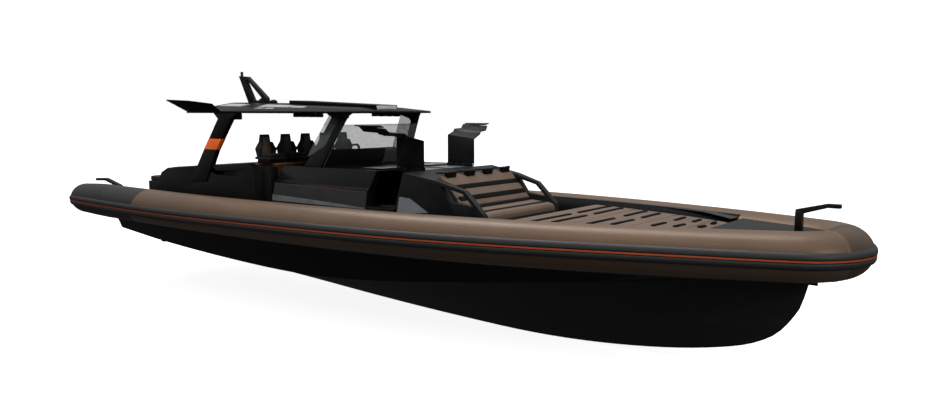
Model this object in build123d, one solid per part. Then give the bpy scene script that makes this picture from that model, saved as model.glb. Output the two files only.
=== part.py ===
from build123d import *
import math
import os

# A 17 m cabin RIB. Lengths are in millimetres, +X to the bow, +Y to port, +Z up.
# Places are given from the platform's aft station (x), which lies a little ahead of the
# collar's stern tips, and from the collar's centre (z). On export
# every node moves to the boat's own frame, whose origin lies at the waterline.
ORIGIN_X = 8500.0
WATERLINE_Z = -1000.0

LENGTH = 17000.0
HALF_AFT = 2300.0         # half breadth of the collar's centreline at the stern
HALF_MAX = 2400.0         # and at its widest station
WIDEST_X = 8000.0
SIDE_R = 19900.0          # plan radius of the sides forward of the widest station
BOW_TURN = 900.0          # the bow's tight bend starts this far from the tip
COLLAR_R = 385.0
SHEER_DEG = 0.3           # the collar rises by this much towards the bow
SIDE_PANELS = 6           # straight fabric panels on each side's arc
BOW_PANELS = 6            # and on half of the bow

SOLE_Z = -170.0           # floor of the cockpit, helm well and footwell
DECK_Z = 50.0             # side decks and bow deck
ROOF_TOP = 980.0          # top of console and coachroof
COCKPIT_Y = HALF_AFT - 850.0
CONSOLE_Y = HALF_MAX - 760.0
HELM_Y = CONSOLE_Y - 390.0
CABIN_Y = CONSOLE_Y - 490.0
CABIN_X = (7150.0, 10250.0)
CABIN_FLOOR = -820.0
ENGINE_X = (1150.0, 2420.0)
ENGINE_FLOOR = -670.0
TRANSOM_X = 750.0
HELM_X = (5380.0, 7000.0)
FOOTWELL_X = (11060.0, 11570.0)

# ---------------------------------------------------------------- helpers


def polygon(points):
    return Face(Wire.make_polygon([Vector(*p) for p in points], close=True))


def prism(points, shift):
    return Solid.extrude(polygon(points), Vector(*shift))


def prism_xz(points, y0, y1):
    return prism([(x, y0, z) for x, z in points], (0, y1 - y0, 0))


def prism_xy(points, z0, z1):
    return prism([(x, y, z0) for x, y in points], (0, 0, z1 - z0))


def prism_yz(points, x0, x1):
    return prism([(x0, y, z) for y, z in points], (x1 - x0, 0, 0))


def block(x0, x1, y0, y1, z0, z1):
    return prism_xy([(x0, y0), (x1, y0), (x1, y1), (x0, y1)], z0, z1)


def symmetric(half):
    """A half outline (x, y) and its mirror image as one closed outline."""
    return list(half) + [(x, -y) for x, y in reversed(half)]


def loft_of(rings):
    wires = [Wire.make_polygon([Vector(*p) for p in ring], close=True) for ring in rings]
    return Solid.make_loft(wires, True)


def facet_body(rings):
    """A closed body of flat triangles between like rings, mirrored about the boat's centre plane."""
    faces = [polygon(rings[0]), polygon(rings[-1])]
    count = len(rings[0])
    for near, far in zip(rings, rings[1:]):
        for i in range(count):
            j = (i + 1) % count
            a, b = sorted((i, j), key=lambda k: (near[k][1], near[k][2]))
            if near[a][1] + near[b][1] < 0:
                a, b = b, a
            faces.append(polygon([near[a], near[b], far[b]]))
            faces.append(polygon([near[a], far[b], far[a]]))
    return Solid(Shell(faces))


def port_and_starboard(shape):
    return [shape, shape.mirror(Plane.XZ)]


def cylinder(start, end, r):
    a = Vector(*start)
    b = Vector(*end)
    plane = Plane(origin=a, z_dir=(b - a).normalized())
    return Solid.make_cylinder(r, (b - a).length, plane)


def x_on_line(a, b, z):
    """Where the line through two points (x, z) passes a height."""
    return a[0] + (b[0] - a[0]) * (z - a[1]) / (b[1] - a[1])


nodes = {}


def node(name, *shapes):
    flat = []
    for s in shapes:
        flat.extend(s if isinstance(s, (list, tuple)) else [s])
    nodes[name] = [solid for s in flat for solid in s.solids()]


# ---------------------------------------------------------------- collar path

side_angle = math.atan2(HALF_MAX - HALF_AFT, WIDEST_X)
BOW_START = LENGTH - BOW_TURN


def side_heading(x):
    return math.asin(math.sin(side_angle) - (x - WIDEST_X) / SIDE_R)


def side_breadth(x):
    """Half breadth of the collar's centreline aft of the bow's bend."""
    if x <= WIDEST_X:
        return HALF_AFT + (HALF_MAX - HALF_AFT) * x / WIDEST_X
    return HALF_MAX + SIDE_R * (math.cos(side_heading(x)) - math.cos(side_angle))


bow_heading = side_heading(BOW_START)
BOW_R = side_breadth(BOW_START) / math.cos(bow_heading)
bow_centre = BOW_START + BOW_R * math.sin(bow_heading)
bow_x = bow_centre + BOW_R


def collar_points(x0):
    """The collar's centreline, port stern to starboard stern: straight panels mitred on arcs."""
    port = [(x0, side_breadth(x0))]
    for i in range(SIDE_PANELS + 1):
        x = WIDEST_X + (BOW_START - WIDEST_X) * i / SIDE_PANELS
        port.append((x, side_breadth(x)))
    for i in range(1, BOW_PANELS):
        a = bow_heading + (-math.pi / 2 - bow_heading) * i / BOW_PANELS
        port.append((bow_centre - BOW_R * math.sin(a), BOW_R * math.cos(a)))
    return port + [(bow_x, 0)] + [(x, -y) for x, y in reversed(port)]


def swept(section, x0):
    """A section drawn as (out, up) about the collar's centre, carried along the path."""
    out = Vector(-math.sin(side_angle), math.cos(side_angle), 0)
    along = Vector(math.cos(side_angle), math.sin(side_angle), 0)
    plane = Plane(origin=(x0, side_breadth(x0), 0), x_dir=out, z_dir=along)
    path = Wire.make_polygon([Vector(x, y, 0) for x, y in collar_points(x0)], close=False)
    body = sweep(plane.from_local_coords(section), path=path, transition=Transition.RIGHT)
    return sheered(body.solids()[0])


def sheered(shape):
    return shape.rotate(Axis((0, 0, 0), (0, 1, 0)), -SHEER_DEG)


def sector(r0, r1, z0, z1):
    """The part of a ring between two heights on its outer side."""
    ring = Face(Wire.make_circle(r1)) - Face(Wire.make_circle(r0))
    band = Face.make_rect(r1, z1 - z0, Plane((r1, (z0 + z1) / 2, 0)))
    return (ring & band).faces()[0]


# ---------------------------------------------------------------- collar

CONE_START = 1000.0
CONE_PROFILE = [(-600, 110), (-540, 205), (-390, 295), (-120, 350), (CONE_START, COLLAR_R)]   # x, radius
NOSE_LEN = 370.0          # the nose cap's seam, back from the centreline's tip
SEAM_X = 2381.0           # the aft seam's station at the collar's centre
SEAM_LEAN = 26.4          # and its slope forward from upright, in degrees

tube = swept(Face(Wire.make_circle(COLLAR_R)), CONE_START)
reach = HALF_MAX + 2 * COLLAR_R
nose_zone = block(bow_x - NOSE_LEN, bow_x + 2 * COLLAR_R, -reach, reach, -reach, reach)
seam_run = reach * math.tan(math.radians(SEAM_LEAN))
aft_zone = prism_xz([(-reach, -reach), (SEAM_X - seam_run, -reach), (SEAM_X + seam_run, reach), (-reach, reach)],
                    -reach, reach)
port_tube = tube & block(0, LENGTH, 0, reach, -reach, reach)
node("collar", port_and_starboard(port_tube - nose_zone - aft_zone))
node("nose_cap", tube & nose_zone)


def at_cone(shape):
    """From the cone's own axis to its place at the port stern."""
    turned = shape.moved(Location((-CONE_START, 0, 0))).rotate(Axis.Z, math.degrees(side_angle))
    return sheered(turned.moved(Location((CONE_START, side_breadth(CONE_START), 0))))


cone_half = [(CONE_PROFILE[0][0], 0, 0)] + [(x, 0, r) for x, r in CONE_PROFILE] + [(CONE_START, 0, 0)]
cone = at_cone(Solid.revolve(polygon(cone_half), 360, Axis.X))
aft_tubes = sorted((tube & aft_zone).solids(), key=lambda s: -s.center().Y)
node("stern_cones", [t.fuse(c) for t, c in zip(aft_tubes, port_and_starboard(cone))])
stern_cones = nodes["stern_cones"]

STRAKE_OUT = 46.0
STRAKE_Z = (-75.0, 120.0)
GROOVE_Z = (12.0, 58.0)
GROOVE_IN = 14.0
LINE_Z = (24.0, 58.0)
LINE_OUT = 4.0
STRAKE_END = 1            # the strake tapers aft to this point of the cone's profile
strake_section = sector(COLLAR_R, COLLAR_R + STRAKE_OUT, *STRAKE_Z)
groove = sector(COLLAR_R + STRAKE_OUT - GROOVE_IN, COLLAR_R + 2 * STRAKE_OUT, *GROOVE_Z)
line_section = sector(COLLAR_R + STRAKE_OUT - GROOVE_IN, COLLAR_R + STRAKE_OUT + LINE_OUT, *LINE_Z)
tail_rings = []
for x, r in CONE_PROFILE[STRAKE_END + 1:]:
    z0, z1 = (z * r / COLLAR_R for z in STRAKE_Z)
    tail_rings.append([(x, r - STRAKE_OUT, z0), (x, r + STRAKE_OUT * 0.8, z0),
                       (x, r + STRAKE_OUT * 0.8, z1), (x, r - STRAKE_OUT, z1)])
tail = at_cone(loft_of(tail_rings)) - stern_cones[0]
strake = swept((strake_section - groove).faces()[0], CONE_START)
for piece in port_and_starboard(tail):
    strake = strake.fuse(max(piece.solids(), key=lambda s: s.volume))
node("rub_strake", strake)
node("rub_line", swept(line_section, CONE_START))

# ---------------------------------------------------------------- hull

# station x, keel z, chine's distance in from the collar's centreline, chine z, sheer's distance in
HULL = [
    (TRANSOM_X, -1430, 350, -690, 130),
    (2500, -1520, 340, -850, 130),
    (5000, -1660, 360, -1000, 150),
    (7400, -1820, 410, -1060, 170),
    (9500, -1930, 480, -940, 190),
    (11500, -1985, 495, -740, 145),
    (LENGTH - 3700, -1890, 490, -570, 150),
    (LENGTH - 2200, -1660, 490, -430, 170),
]
# back from the bow's tip, keel z, chine's half breadth, chine z, sheer's half breadth
STEM = [(1400, -1360, 460, -340, 760), (1000, -880, 200, -300, 430), (860, -420, 60, -260, 200)]
stations = [(x, keel, side_breadth(x) - c, zc, side_breadth(x) - s) for x, keel, c, zc, s in HULL]
stations += [(LENGTH - d, keel, yc, zc, ys) for d, keel, yc, zc, ys in STEM]
bottom_rings = [[(x, yc, zc), (x, -yc, zc), (x, 0, keel)] for x, keel, yc, zc, ys in stations]
side_rings = [[(x, yc, zc), (x, ys, SOLE_Z), (x, -ys, SOLE_Z), (x, -yc, zc)]
              for x, keel, yc, zc, ys in stations]
hull_bottom = facet_body(bottom_rings)
hull_top = facet_body(side_rings) - tube - stern_cones[0] - stern_cones[1]
DEEP = -3000.0
SIDES_END = LENGTH - 3700.0
side_zone = block(0, SIDES_END, CABIN_Y, reach, DEEP, 0)
core_zone = block(0, LENGTH, -CABIN_Y, CABIN_Y, DEEP, 0) + block(SIDES_END, LENGTH, -reach, reach, DEEP, 0)
cabin_zone = block(*CABIN_X, -CABIN_Y, CABIN_Y, DEEP, 0)
engine_zone = block(*ENGINE_X, -CABIN_Y, CABIN_Y, DEEP, 0)
core = hull_top & core_zone
node("hull_bottom", hull_bottom)
node("hull_sides", port_and_starboard(hull_top & side_zone))
node("hull_core", core - cabin_zone - engine_zone)
node("hull_floors", core & block(*CABIN_X, -CABIN_Y, CABIN_Y, DEEP, CABIN_FLOOR),
     core & block(*ENGINE_X, -CABIN_Y, CABIN_Y, DEEP, ENGINE_FLOOR))

# ---------------------------------------------------------------- decks

UNDER_COLLAR = 250.0      # the decks run in under the collar to this distance from its centreline
PLATFORM = (130.0, 1850.0, 60.0)          # aft end, half breadth, thickness under the deck's height
deck_stations = [TRANSOM_X, 3000, 5500, WIDEST_X, 9500, FOOTWELL_X[1]]
deck_plan = [(x, side_breadth(x) - UNDER_COLLAR) for x in deck_stations]
deck_plan += [(FOOTWELL_X[1], COCKPIT_Y), (TRANSOM_X, COCKPIT_Y)]
side_deck = prism_xy(deck_plan, SOLE_Z, DECK_Z) - tube - stern_cones[0]
node("side_decks", port_and_starboard(max(side_deck.solids(), key=lambda s: s.volume)))

engine_top = 260.0
engine_y = COCKPIT_Y - 300
engine_room = block(*ENGINE_X, -engine_y, engine_y, SOLE_Z - 1, engine_top)
stern_deck = block(TRANSOM_X, ENGINE_X[1], -COCKPIT_Y, COCKPIT_Y, SOLE_Z, DECK_Z) - engine_room
platform = block(PLATFORM[0], TRANSOM_X, -PLATFORM[1], PLATFORM[1], DECK_Z - PLATFORM[2] * 1.8, DECK_Z)
node("stern_deck", stern_deck.fuse(platform))

bow_stations = [FOOTWELL_X[1], 12500, 13500, LENGTH - 2500, LENGTH - 1600, LENGTH - 1000]
bow_half = [(x, side_breadth(x) - UNDER_COLLAR) for x in bow_stations]
bow_half += [(bow_x - 480, BOW_R - UNDER_COLLAR - 90), (bow_x - UNDER_COLLAR, 0.01)]
bow_deck = prism_xy(symmetric(bow_half), SOLE_Z, DECK_Z)
FORE_Z = 320.0
FORE_X = LENGTH - 2240.0
fore_half = [(x, side_breadth(x) - UNDER_COLLAR + 90) for x in (FORE_X, LENGTH - 1500, LENGTH - 900)]
foredeck = prism_xy(symmetric(fore_half + [(bow_x - UNDER_COLLAR - 60, 330)]), DECK_Z, FORE_Z)
PAD_GAP = 40.0
# the sunpad's outline: station and distance in from the collar's centreline
PAD_EDGE = [(FOOTWELL_X[1] + 30, 455), (12300, 465), (13300, 520), (LENGTH - 2550, 650),
            (FORE_X - PAD_GAP, 720)]
PAD_Z = (200.0, 300.0)
pad_half = [(x, side_breadth(x) - d) for x, d in PAD_EDGE]
pad_base = prism_xy(symmetric(pad_half), DECK_Z, PAD_Z[0])
POST_X = LENGTH - 1060.0
POST_W = 50.0
ARM_TIP = (580.0, 440.0)  # forward of the post, above the foredeck
post = block(POST_X - POST_W, POST_X + POST_W, -60, 60, FORE_Z, FORE_Z + 300)
knee_x = POST_X + ARM_TIP[0] - 190
arm_z = FORE_Z + ARM_TIP[1]
arm = prism_xz([(POST_X - POST_W, arm_z - 200), (POST_X - POST_W, arm_z - 110), (knee_x, arm_z),
                (POST_X + ARM_TIP[0], arm_z), (POST_X + ARM_TIP[0], arm_z - 60), (knee_x + 15, arm_z - 60),
                (POST_X + POST_W, arm_z - 170)], -POST_W, POST_W)
bow_deck = bow_deck.fuse(foredeck) - tube
bow_deck = max(bow_deck.solids(), key=lambda s: s.volume)
node("bow_deck", bow_deck.fuse(pad_base))
node("bow_sunpad", prism_xy(symmetric(pad_half), *PAD_Z))
node("bow_post", post.fuse(arm))

EYE_R = 20.0
EYE_T = 30.0
EYE_OUT = 55.0            # the hole's distance ahead of the stem, and the plate's margin round it
stem_x = LENGTH - STEM[-1][0]
stem_z = STEM[-1][1]
eye = block(stem_x - 300, stem_x + 2 * EYE_OUT, -EYE_T / 2, EYE_T / 2, stem_z - EYE_OUT, stem_z + EYE_OUT)
eye = max((eye - hull_top - hull_bottom).solids(), key=lambda s: s.center().X)
hole_x = stem_x + EYE_OUT
node("bow_eye", eye - cylinder((hole_x, -EYE_T, stem_z), (hole_x, EYE_T, stem_z), EYE_R))

# ---------------------------------------------------------------- console

# side section (distance in from the console's half breadth, z)
CONSOLE_SECTION = [(0, DECK_Z), (0, 120), (190, 240), (200, 610), (230, 640), (290, ROOF_TOP)]
CONSOLE_TOP = ROOF_TOP + 20
CONSOLE_AFT = [(5640, SOLE_Z), (5640, DECK_Z), (5670, 280), (5770, 650), (5990, CONSOLE_TOP)]
CONSOLE_FORE = [(8600, CONSOLE_TOP), (8430, 560), (8370, DECK_Z), (8370, SOLE_Z)]
ROOF_SKIN = 45.0
section_half = [(COCKPIT_Y, SOLE_Z), (COCKPIT_Y, DECK_Z)]
section_half += [(CONSOLE_Y - d, z) for d, z in CONSOLE_SECTION]
console = prism_yz(section_half + [(-y, z) for y, z in reversed(section_half)], 5600, 8700)
console = console & prism_xz(CONSOLE_AFT + CONSOLE_FORE, -reach, reach)
console = console - block(HELM_X[0], HELM_X[1], -HELM_Y, HELM_Y, SOLE_Z - 1, 1600)
console = console - block(CABIN_X[0], 8800, -HELM_Y + 20, HELM_Y - 20, SOLE_Z - 1, ROOF_TOP - ROOF_SKIN)
node("console", console)

# ---------------------------------------------------------------- coachroof and bow lounge

LOUNGE_AFT = [(9010, SOLE_Z), (9010, DECK_Z), (9300, ROOF_TOP)]
LOUNGE_FORE = [(10070, 850), (10600, 705), (11010, 310), (11055, DECK_Z), (11055, SOLE_Z)]
LOUNGE_Y = [(8900, CONSOLE_Y - 235), (9320, CONSOLE_Y - 240), (10600, CONSOLE_Y - 390),
            (11100, CONSOLE_Y - 390)]
coach = prism_xz(LOUNGE_AFT + LOUNGE_FORE, -reach, reach) & prism_xy(symmetric(LOUNGE_Y), SOLE_Z, 1200)
BACK_TOP = (9860, 900)
BACK_FOOT = (10380, 330)
SEAT_Z = 230.0
INNER_Y = CONSOLE_Y - 510.0
CUSHION_GAP = 15.0
seat_front = FOOTWELL_X[0]
recess = prism_xz([BACK_TOP, BACK_FOOT, (BACK_FOOT[0] + 60, SEAT_Z), (seat_front + 50, SEAT_Z),
                   (seat_front + 50, 1300), (BACK_TOP[0] - 60, 1300)], -INNER_Y, INNER_Y)
FRAME_WINDOW = [(10090, 770), (10320, 480), (10790, 430), (10560, 650)]
frame_window = prism_xz(FRAME_WINDOW, -reach, reach)
cabin_hollow = prism_xz([(8000, SOLE_Z - 1), (8000, ROOF_TOP - ROOF_SKIN), (9800, ROOF_TOP - 110),
                         (CABIN_X[1] - 100, 480), (CABIN_X[1] - 100, SOLE_Z - 1)], -CABIN_Y, CABIN_Y)
HINGE_Y = 790.0
strip = block(8560, 9330, -HINGE_Y + 20, HINGE_Y - 20, ROOF_TOP - ROOF_SKIN, ROOF_TOP)
node("coachroof", (coach - recess - frame_window - cabin_hollow).fuse(strip - console))

BACK_OUT = (75.0, 60.0)   # the backrest cushion's thickness, forward and up
cushion_y = INNER_Y - CUSHION_GAP
node("lounge_cushions",
     prism_xz([BACK_TOP, BACK_FOOT, (BACK_FOOT[0] + BACK_OUT[0], BACK_FOOT[1] + BACK_OUT[1]),
               (BACK_TOP[0] + BACK_OUT[0], BACK_TOP[1] + BACK_OUT[1])], -cushion_y, cushion_y),
     prism_xz([(BACK_FOOT[0] + 90, SEAT_Z), (BACK_FOOT[0] + 90, 360), (10950, 330), (11040, 290),
               (seat_front, SEAT_Z), (seat_front, 140), (seat_front - 4, 140), (seat_front - 4, SEAT_Z)],
              -cushion_y, cushion_y))
HEAD_PITCH = 580.0
HEAD_X = (9960.0, 10020.0)
# wing outline (y from its middle, z)
HEAD_WING = [(-150, 985), (150, 985), (110, 870), (40, 800), (-40, 800), (-110, 870)]
# the swept plate on top (x, y from its middle)
HEAD_PLATE = [(10025, 150), (9890, 283), (9860, 265), (9950, 110)]
HEAD_PLATE_Z = (967.0, 987.0)
heads = []
for i in range(4):
    y = HEAD_PITCH * (i - 1.5)
    wing = prism_yz([(y + dy, z) for dy, z in HEAD_WING], *HEAD_X)
    top = prism_xy([(x, y + dy) for x, dy in symmetric(HEAD_PLATE)], *HEAD_PLATE_Z)
    heads.append(wing.fuse(top) - nodes["lounge_cushions"][0])
node("lounge_headrests", heads)

STEP_Y = (780.0, 1140.0)
STEP_Z = 300.0
sill_side = [(CONSOLE_FORE[2][0] + 4, SOLE_Z), (CONSOLE_FORE[2][0] + 4, DECK_Z),
             (x_on_line(CONSOLE_FORE[2], CONSOLE_FORE[1], STEP_Z) + 4, STEP_Z),
             (x_on_line(LOUNGE_AFT[1], LOUNGE_AFT[2], STEP_Z) - 4, STEP_Z),
             (LOUNGE_AFT[1][0] - 4, DECK_Z), (LOUNGE_AFT[1][0] - 4, SOLE_Z)]
steps = block(8420, 9180, *STEP_Y, CABIN_FLOOR, STEP_Z)
steps = steps.fuse(prism_xz(sill_side, STEP_Y[1] - 5, COCKPIT_Y - 10)) - nodes["coachroof"][0]
node("entry_steps", port_and_starboard(steps))

# ---------------------------------------------------------------- gull-wing doors

DOOR_X = (8370.0, 9310.0)
HINGE_Z = ROOF_TOP + 20.0
DOOR_T = 22.0
# the closed door's outer skin at its aft end (distance in from the console's half breadth, z),
# and how far the fore end lies further in
DOOR_SKIN = [(210, HINGE_Z + 11), (170, 650), (120, 610), (110, 300), (30, 210)]
DOOR_TAPER = [100, 50, 50, 50, 50]
# the gap between console and coachroof that the door closes, seen from the side
DOOR_GAP = [(8612, 1100), (8612, 990), (8442, 560), (8384, 60), (9000, 60), (9290, 980), (9290, 1100)]
PIN_R = 7.0
RUN_FIT = 0.05
KNUCKLE_R = 14.0
LUGS = [(8640, 8680), (8860, 8900), (9020, 9060), (9230, 9270)]
KNUCKLES = [(8688, 8852), (9068, 9222)]
LUG_CLEAR = 8.0


def offset_inward(points, t):
    out = []
    for i, (y, z) in enumerate(points):
        a = points[max(i - 1, 0)]
        b = points[min(i + 1, len(points) - 1)]
        n = math.hypot(b[0] - a[0], b[1] - a[1])
        out.append((y + (b[1] - a[1]) / n * t, z - (b[0] - a[0]) / n * t))
    return out


def door_ring(x, taper):
    skin = [(HINGE_Y, HINGE_Z + 11)]
    skin += [(CONSOLE_Y - d - t, z) for (d, z), t in zip(DOOR_SKIN, taper)]
    return [(x, y, z) for y, z in skin + list(reversed(offset_inward(skin, DOOR_T)))]


def on_hinge(x0, x1, r):
    return cylinder((x0, HINGE_Y, HINGE_Z), (x1, HINGE_Y, HINGE_Z), r)


closed = loft_of([door_ring(DOOR_X[0], [0] * len(DOOR_SKIN)), door_ring(DOOR_X[1], DOOR_TAPER)])
closed = closed & prism_xz(DOOR_GAP, 0, reach)
opened = closed.rotate(Axis((0, HINGE_Y, HINGE_Z), (1, 0, 0)), 90)
for x0, x1 in LUGS:
    opened = opened - on_hinge(x0 - LUG_CLEAR, x1 + LUG_CLEAR, 34)
for x0, x1 in KNUCKLES:
    opened = opened.fuse(on_hinge(x0, x1, KNUCKLE_R))
opened = opened - on_hinge(LUGS[0][0] - 20, LUGS[-1][1] + 20, PIN_R + RUN_FIT)
hinge = on_hinge(LUGS[0][0], LUGS[-1][1], PIN_R)
for x0, x1 in LUGS:
    lug = on_hinge(x0, x1, KNUCKLE_R).fuse(block(x0, x1, HINGE_Y - 60, HINGE_Y - 4, ROOF_TOP, HINGE_Z + 6))
    hinge = hinge.fuse(lug)
node("gullwing_port", opened)
node("gullwing_starboard", opened.mirror(Plane.XZ))
node("door_hinges", port_and_starboard(hinge))

# ---------------------------------------------------------------- windscreen and pillars

LEAN = 13.0               # the side pillars and quarter glass lean inboard by this angle
PILLAR_Y = CONSOLE_Y - 330.0
PILLAR_T = 40.0
GLASS_T = 10.0
A_PILLAR = [(6560, ROOF_TOP + 5), (6700, 1210), (6820, 1270), (7080, 1420), (7330, 1900), (7300, 1960),
            (7060, 2040), (7600, 2040), (7050, ROOF_TOP + 5)]
QUARTER = [(6600, 1190), (6700, 1205), (6820, 1262), (7090, 1412), (7340, 1895), (7310, 1965), (7055, 2045),
           (6800, 1600)]


def side_panel(outline, thickness):
    """A panel in the side's plane, which leans inboard from the console's top."""
    flat = prism_xz(outline, PILLAR_Y - thickness / 2, PILLAR_Y + thickness / 2)
    return flat.rotate(Axis((0, PILLAR_Y, ROOF_TOP + 5), (1, 0, 0)), LEAN)


pillar = side_panel(A_PILLAR, PILLAR_T)
node("windscreen_pillars", port_and_starboard(pillar))
SCREEN_FOOT = (7090.0, 1000.0, PILLAR_Y - 10)
SCREEN_TOP = (7490.0, 1830.0, PILLAR_Y - 185)
SCREEN_T = (12.0, 0.0, -6.0)
screen = prism([(SCREEN_FOOT[0], -SCREEN_FOOT[2], SCREEN_FOOT[1]), (SCREEN_FOOT[0], SCREEN_FOOT[2], SCREEN_FOOT[1]),
                (SCREEN_TOP[0], SCREEN_TOP[2], SCREEN_TOP[1]), (SCREEN_TOP[0], -SCREEN_TOP[2], SCREEN_TOP[1])],
               SCREEN_T)
for p in nodes["windscreen_pillars"]:
    screen = screen - p
screen = max(screen.solids(), key=lambda s: s.volume)
node("glazing", screen, port_and_starboard(side_panel(QUARTER, GLASS_T) - pillar))

AFT_PILLAR = [(3260, 560), (3800, 560), (4220, 1270), (4740, 1930), (4960, 2050), (4160, 2050), (4300, 1930),
              (3780, 1270)]
AFT_PILLAR_Y = (COCKPIT_Y + 150, COCKPIT_Y + 270)
BAND_Z = (1265.0, 1500.0)
aft_pillar = prism_xz(AFT_PILLAR, *AFT_PILLAR_Y)
band_zone = block(3000, 6000, 0, reach, *BAND_Z)
node("aft_pillars", port_and_starboard(aft_pillar - band_zone))
node("pillar_bands", port_and_starboard(aft_pillar & band_zone))

# ---------------------------------------------------------------- roof

ROOF_Z = (2050.0, 2095.0)                 # blade's underside and its top edge
CROWN_Z = 2290.0                          # crown's top at its aft end, falling forward
CROWN_FALL = 0.031
# half outlines (x, y) of the blade and of the crown's flat top
ROOF_PLAN = [(7900, 1), (7700, 1340), (7300, 1420), (5000, 1720), (3250, 1760), (3050, 1100), (2950, 1)]
CROWN_PLAN = [(7500, 1), (7400, 700), (6900, 820), (5000, 900), (3700, 860), (3500, 500), (3450, 1)]
DOME_X = 4080.0
DOME_R = 90.0


def crown_z(x):
    return CROWN_Z - (x - CROWN_PLAN[-1][0]) * CROWN_FALL


blade = prism_xy(symmetric(ROOF_PLAN), *ROOF_Z)
crown = facet_body([[(x, y, ROOF_Z[1]) for x, y in symmetric(ROOF_PLAN)],
                    [(x, y, crown_z(x)) for x, y in symmetric(CROWN_PLAN)]])
dome_z = crown_z(DOME_X)
dome = cylinder((DOME_X, 0, dome_z - 20), (DOME_X, 0, dome_z + 50), DOME_R)
dome = dome.fuse(Solid.make_cone(DOME_R, DOME_R * 0.4, 35, Plane((DOME_X, 0, dome_z + 50))))
node("roof", blade.fuse(crown).fuse(dome))
WING_T = 24.0
WING = [(4450, 1735, 2095), (3250, 1760, 2110), (2800, 1960, 2350), (3600, 1930, 2322), (4280, 1830, 2256)]
wing = None
for corners in ((0, 1, 4), (1, 3, 4), (1, 2, 3)):
    facet = prism([WING[i] for i in corners], (0, 0, -WING_T))
    wing = facet if wing is None else wing.fuse(facet)
node("roof_winglets", port_and_starboard(wing - nodes["roof"][0]))
hatch = prism_xz([(5000, ROOF_Z[1]), (5000, 2330), (7860, 2211), (7860, ROOF_Z[1])], -330, 330)
node("roof_hatch", hatch - nodes["roof"][0])
MAST_T = 90.0
mast = prism_xz([(3320, ROOF_Z[1]), (2890, 2920), (3220, 2900), (3900, 2400), (3950, ROOF_Z[1])],
                -MAST_T / 2, MAST_T / 2) - nodes["roof"][0]
mast_slot = prism_xz([(3420, 2350), (3140, 2820), (3220, 2800), (3700, 2400), (3560, 2330)], -100, 100)
light = cylinder((2960, 0, 2900), (2960, 0, 3020), 32)
mast = max((mast - mast_slot).solids(), key=lambda s: s.center().Z)
node("mast_fin", mast.fuse(light))

# ---------------------------------------------------------------- aft cockpit

COAMING = [(1980, DECK_Z), (1980, 560), (2080, 690), (2330, 800), (3630, 900), (5200, 1010), (5380, 930),
           (5420, DECK_Z)]
COAMING_Y = (COCKPIT_Y + 30, COCKPIT_Y + 240)
SLOT = [(3960, 790), (4820, 830), (4840, 720), (4260, 720)]
SLOT_DEPTH = 90.0
WALL_X = 5700.0
WALL_Z = 930.0
coaming = prism_xz(COAMING, *COAMING_Y) - prism_xz(SLOT, COAMING_Y[1] - SLOT_DEPTH, reach) - aft_pillar
wall = prism_yz([(HELM_Y + 20, SOLE_Z), (COCKPIT_Y, SOLE_Z), (COCKPIT_Y, DECK_Z), (COAMING_Y[0], DECK_Z),
                 (COAMING_Y[0], WALL_Z), (HELM_Y + 20, WALL_Z)], HELM_X[0], WALL_X) - console
node("coamings", port_and_starboard(coaming.fuse(max(wall.solids(), key=lambda s: s.volume))))

BASE_X = ENGINE_X[0] + 30
BASE_TOP = 430.0
BENCH = (2980.0, COCKPIT_Y - 150, 190.0)  # front, half breadth, top
base = block(BASE_X, ENGINE_X[1], -COCKPIT_Y - 20, COCKPIT_Y + 20, DECK_Z, BASE_TOP) - engine_room
node("aft_base", base.fuse(block(ENGINE_X[1], BENCH[0], -BENCH[1], BENCH[1], SOLE_Z, BENCH[2])))
node("aft_cushions",
     block(BASE_X + 20, 1960, -COCKPIT_Y + 10, COCKPIT_Y - 10, BASE_TOP, BASE_TOP + 120),
     prism_xz([(1970, BASE_TOP), (2060, 790), (2300, 790), (ENGINE_X[1] - 2, BASE_TOP)],
              -COCKPIT_Y + 10, COCKPIT_Y - 10),
     block(ENGINE_X[1] + 10, BENCH[0], -BENCH[1] + 10, BENCH[1] - 10, BENCH[2], BENCH[2] + 120))
PLINTH_X = (5020.0, 5640.0)
PLINTH_Z = (960.0, 1000.0)
node("seat_plinth", block(*PLINTH_X, -HELM_Y, HELM_Y, SOLE_Z, PLINTH_Z[0]).fuse(
    block(PLINTH_X[0] - 30, PLINTH_X[1] + 30, -HELM_Y - 10, HELM_Y + 10, *PLINTH_Z)))

SEAT_X = 5330.0
SEAT_PITCH = (HELM_Y - 96) / 2
# back's outline (y from the seat's middle, height above the seat pan)
SEAT_BACK = [(190, 0), (235, 170), (130, 320), (105, 470)]
PAN_Z = PLINTH_Z[1] + 80
# the arm ring on each seat's port side (x from the seat's middle, height above the pan)
ARM_RING = [(-150, 20), (-190, 120), (-150, 235), (60, 250), (130, 180), (110, 20)]
ARM_HOLE = [(-110, 65), (-140, 120), (-115, 190), (45, 200), (80, 160), (70, 65)]
shells, pads = [], []
for i in range(-2, 3):
    y = SEAT_PITCH * i
    pan = block(SEAT_X - 230, SEAT_X + 250, y - 235, y + 235, PAN_Z, PAN_Z + 50)
    back = symmetric([(z, dy) for dy, z in SEAT_BACK])
    back = prism_yz([(y + dy, PAN_Z + 50 + z) for z, dy in back], SEAT_X - 230, SEAT_X - 160)
    ring = [prism_xz([(SEAT_X + dx, PAN_Z + z) for dx, z in outline], y + 225, y + 260)
            for outline in (ARM_RING, ARM_HOLE)]
    post = cylinder((SEAT_X, y, PLINTH_Z[1]), (SEAT_X, y, PAN_Z + 10), 90)
    shells.append(pan.fuse(back).fuse(post).fuse(ring[0] - ring[1]))
    pads.append(block(SEAT_X - 150, SEAT_X + 240, y - 190, y + 190, PAN_Z + 50, PAN_Z + 120))
node("seat_shells", shells)
node("seat_pads", pads)

# ---------------------------------------------------------------- helm

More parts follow.
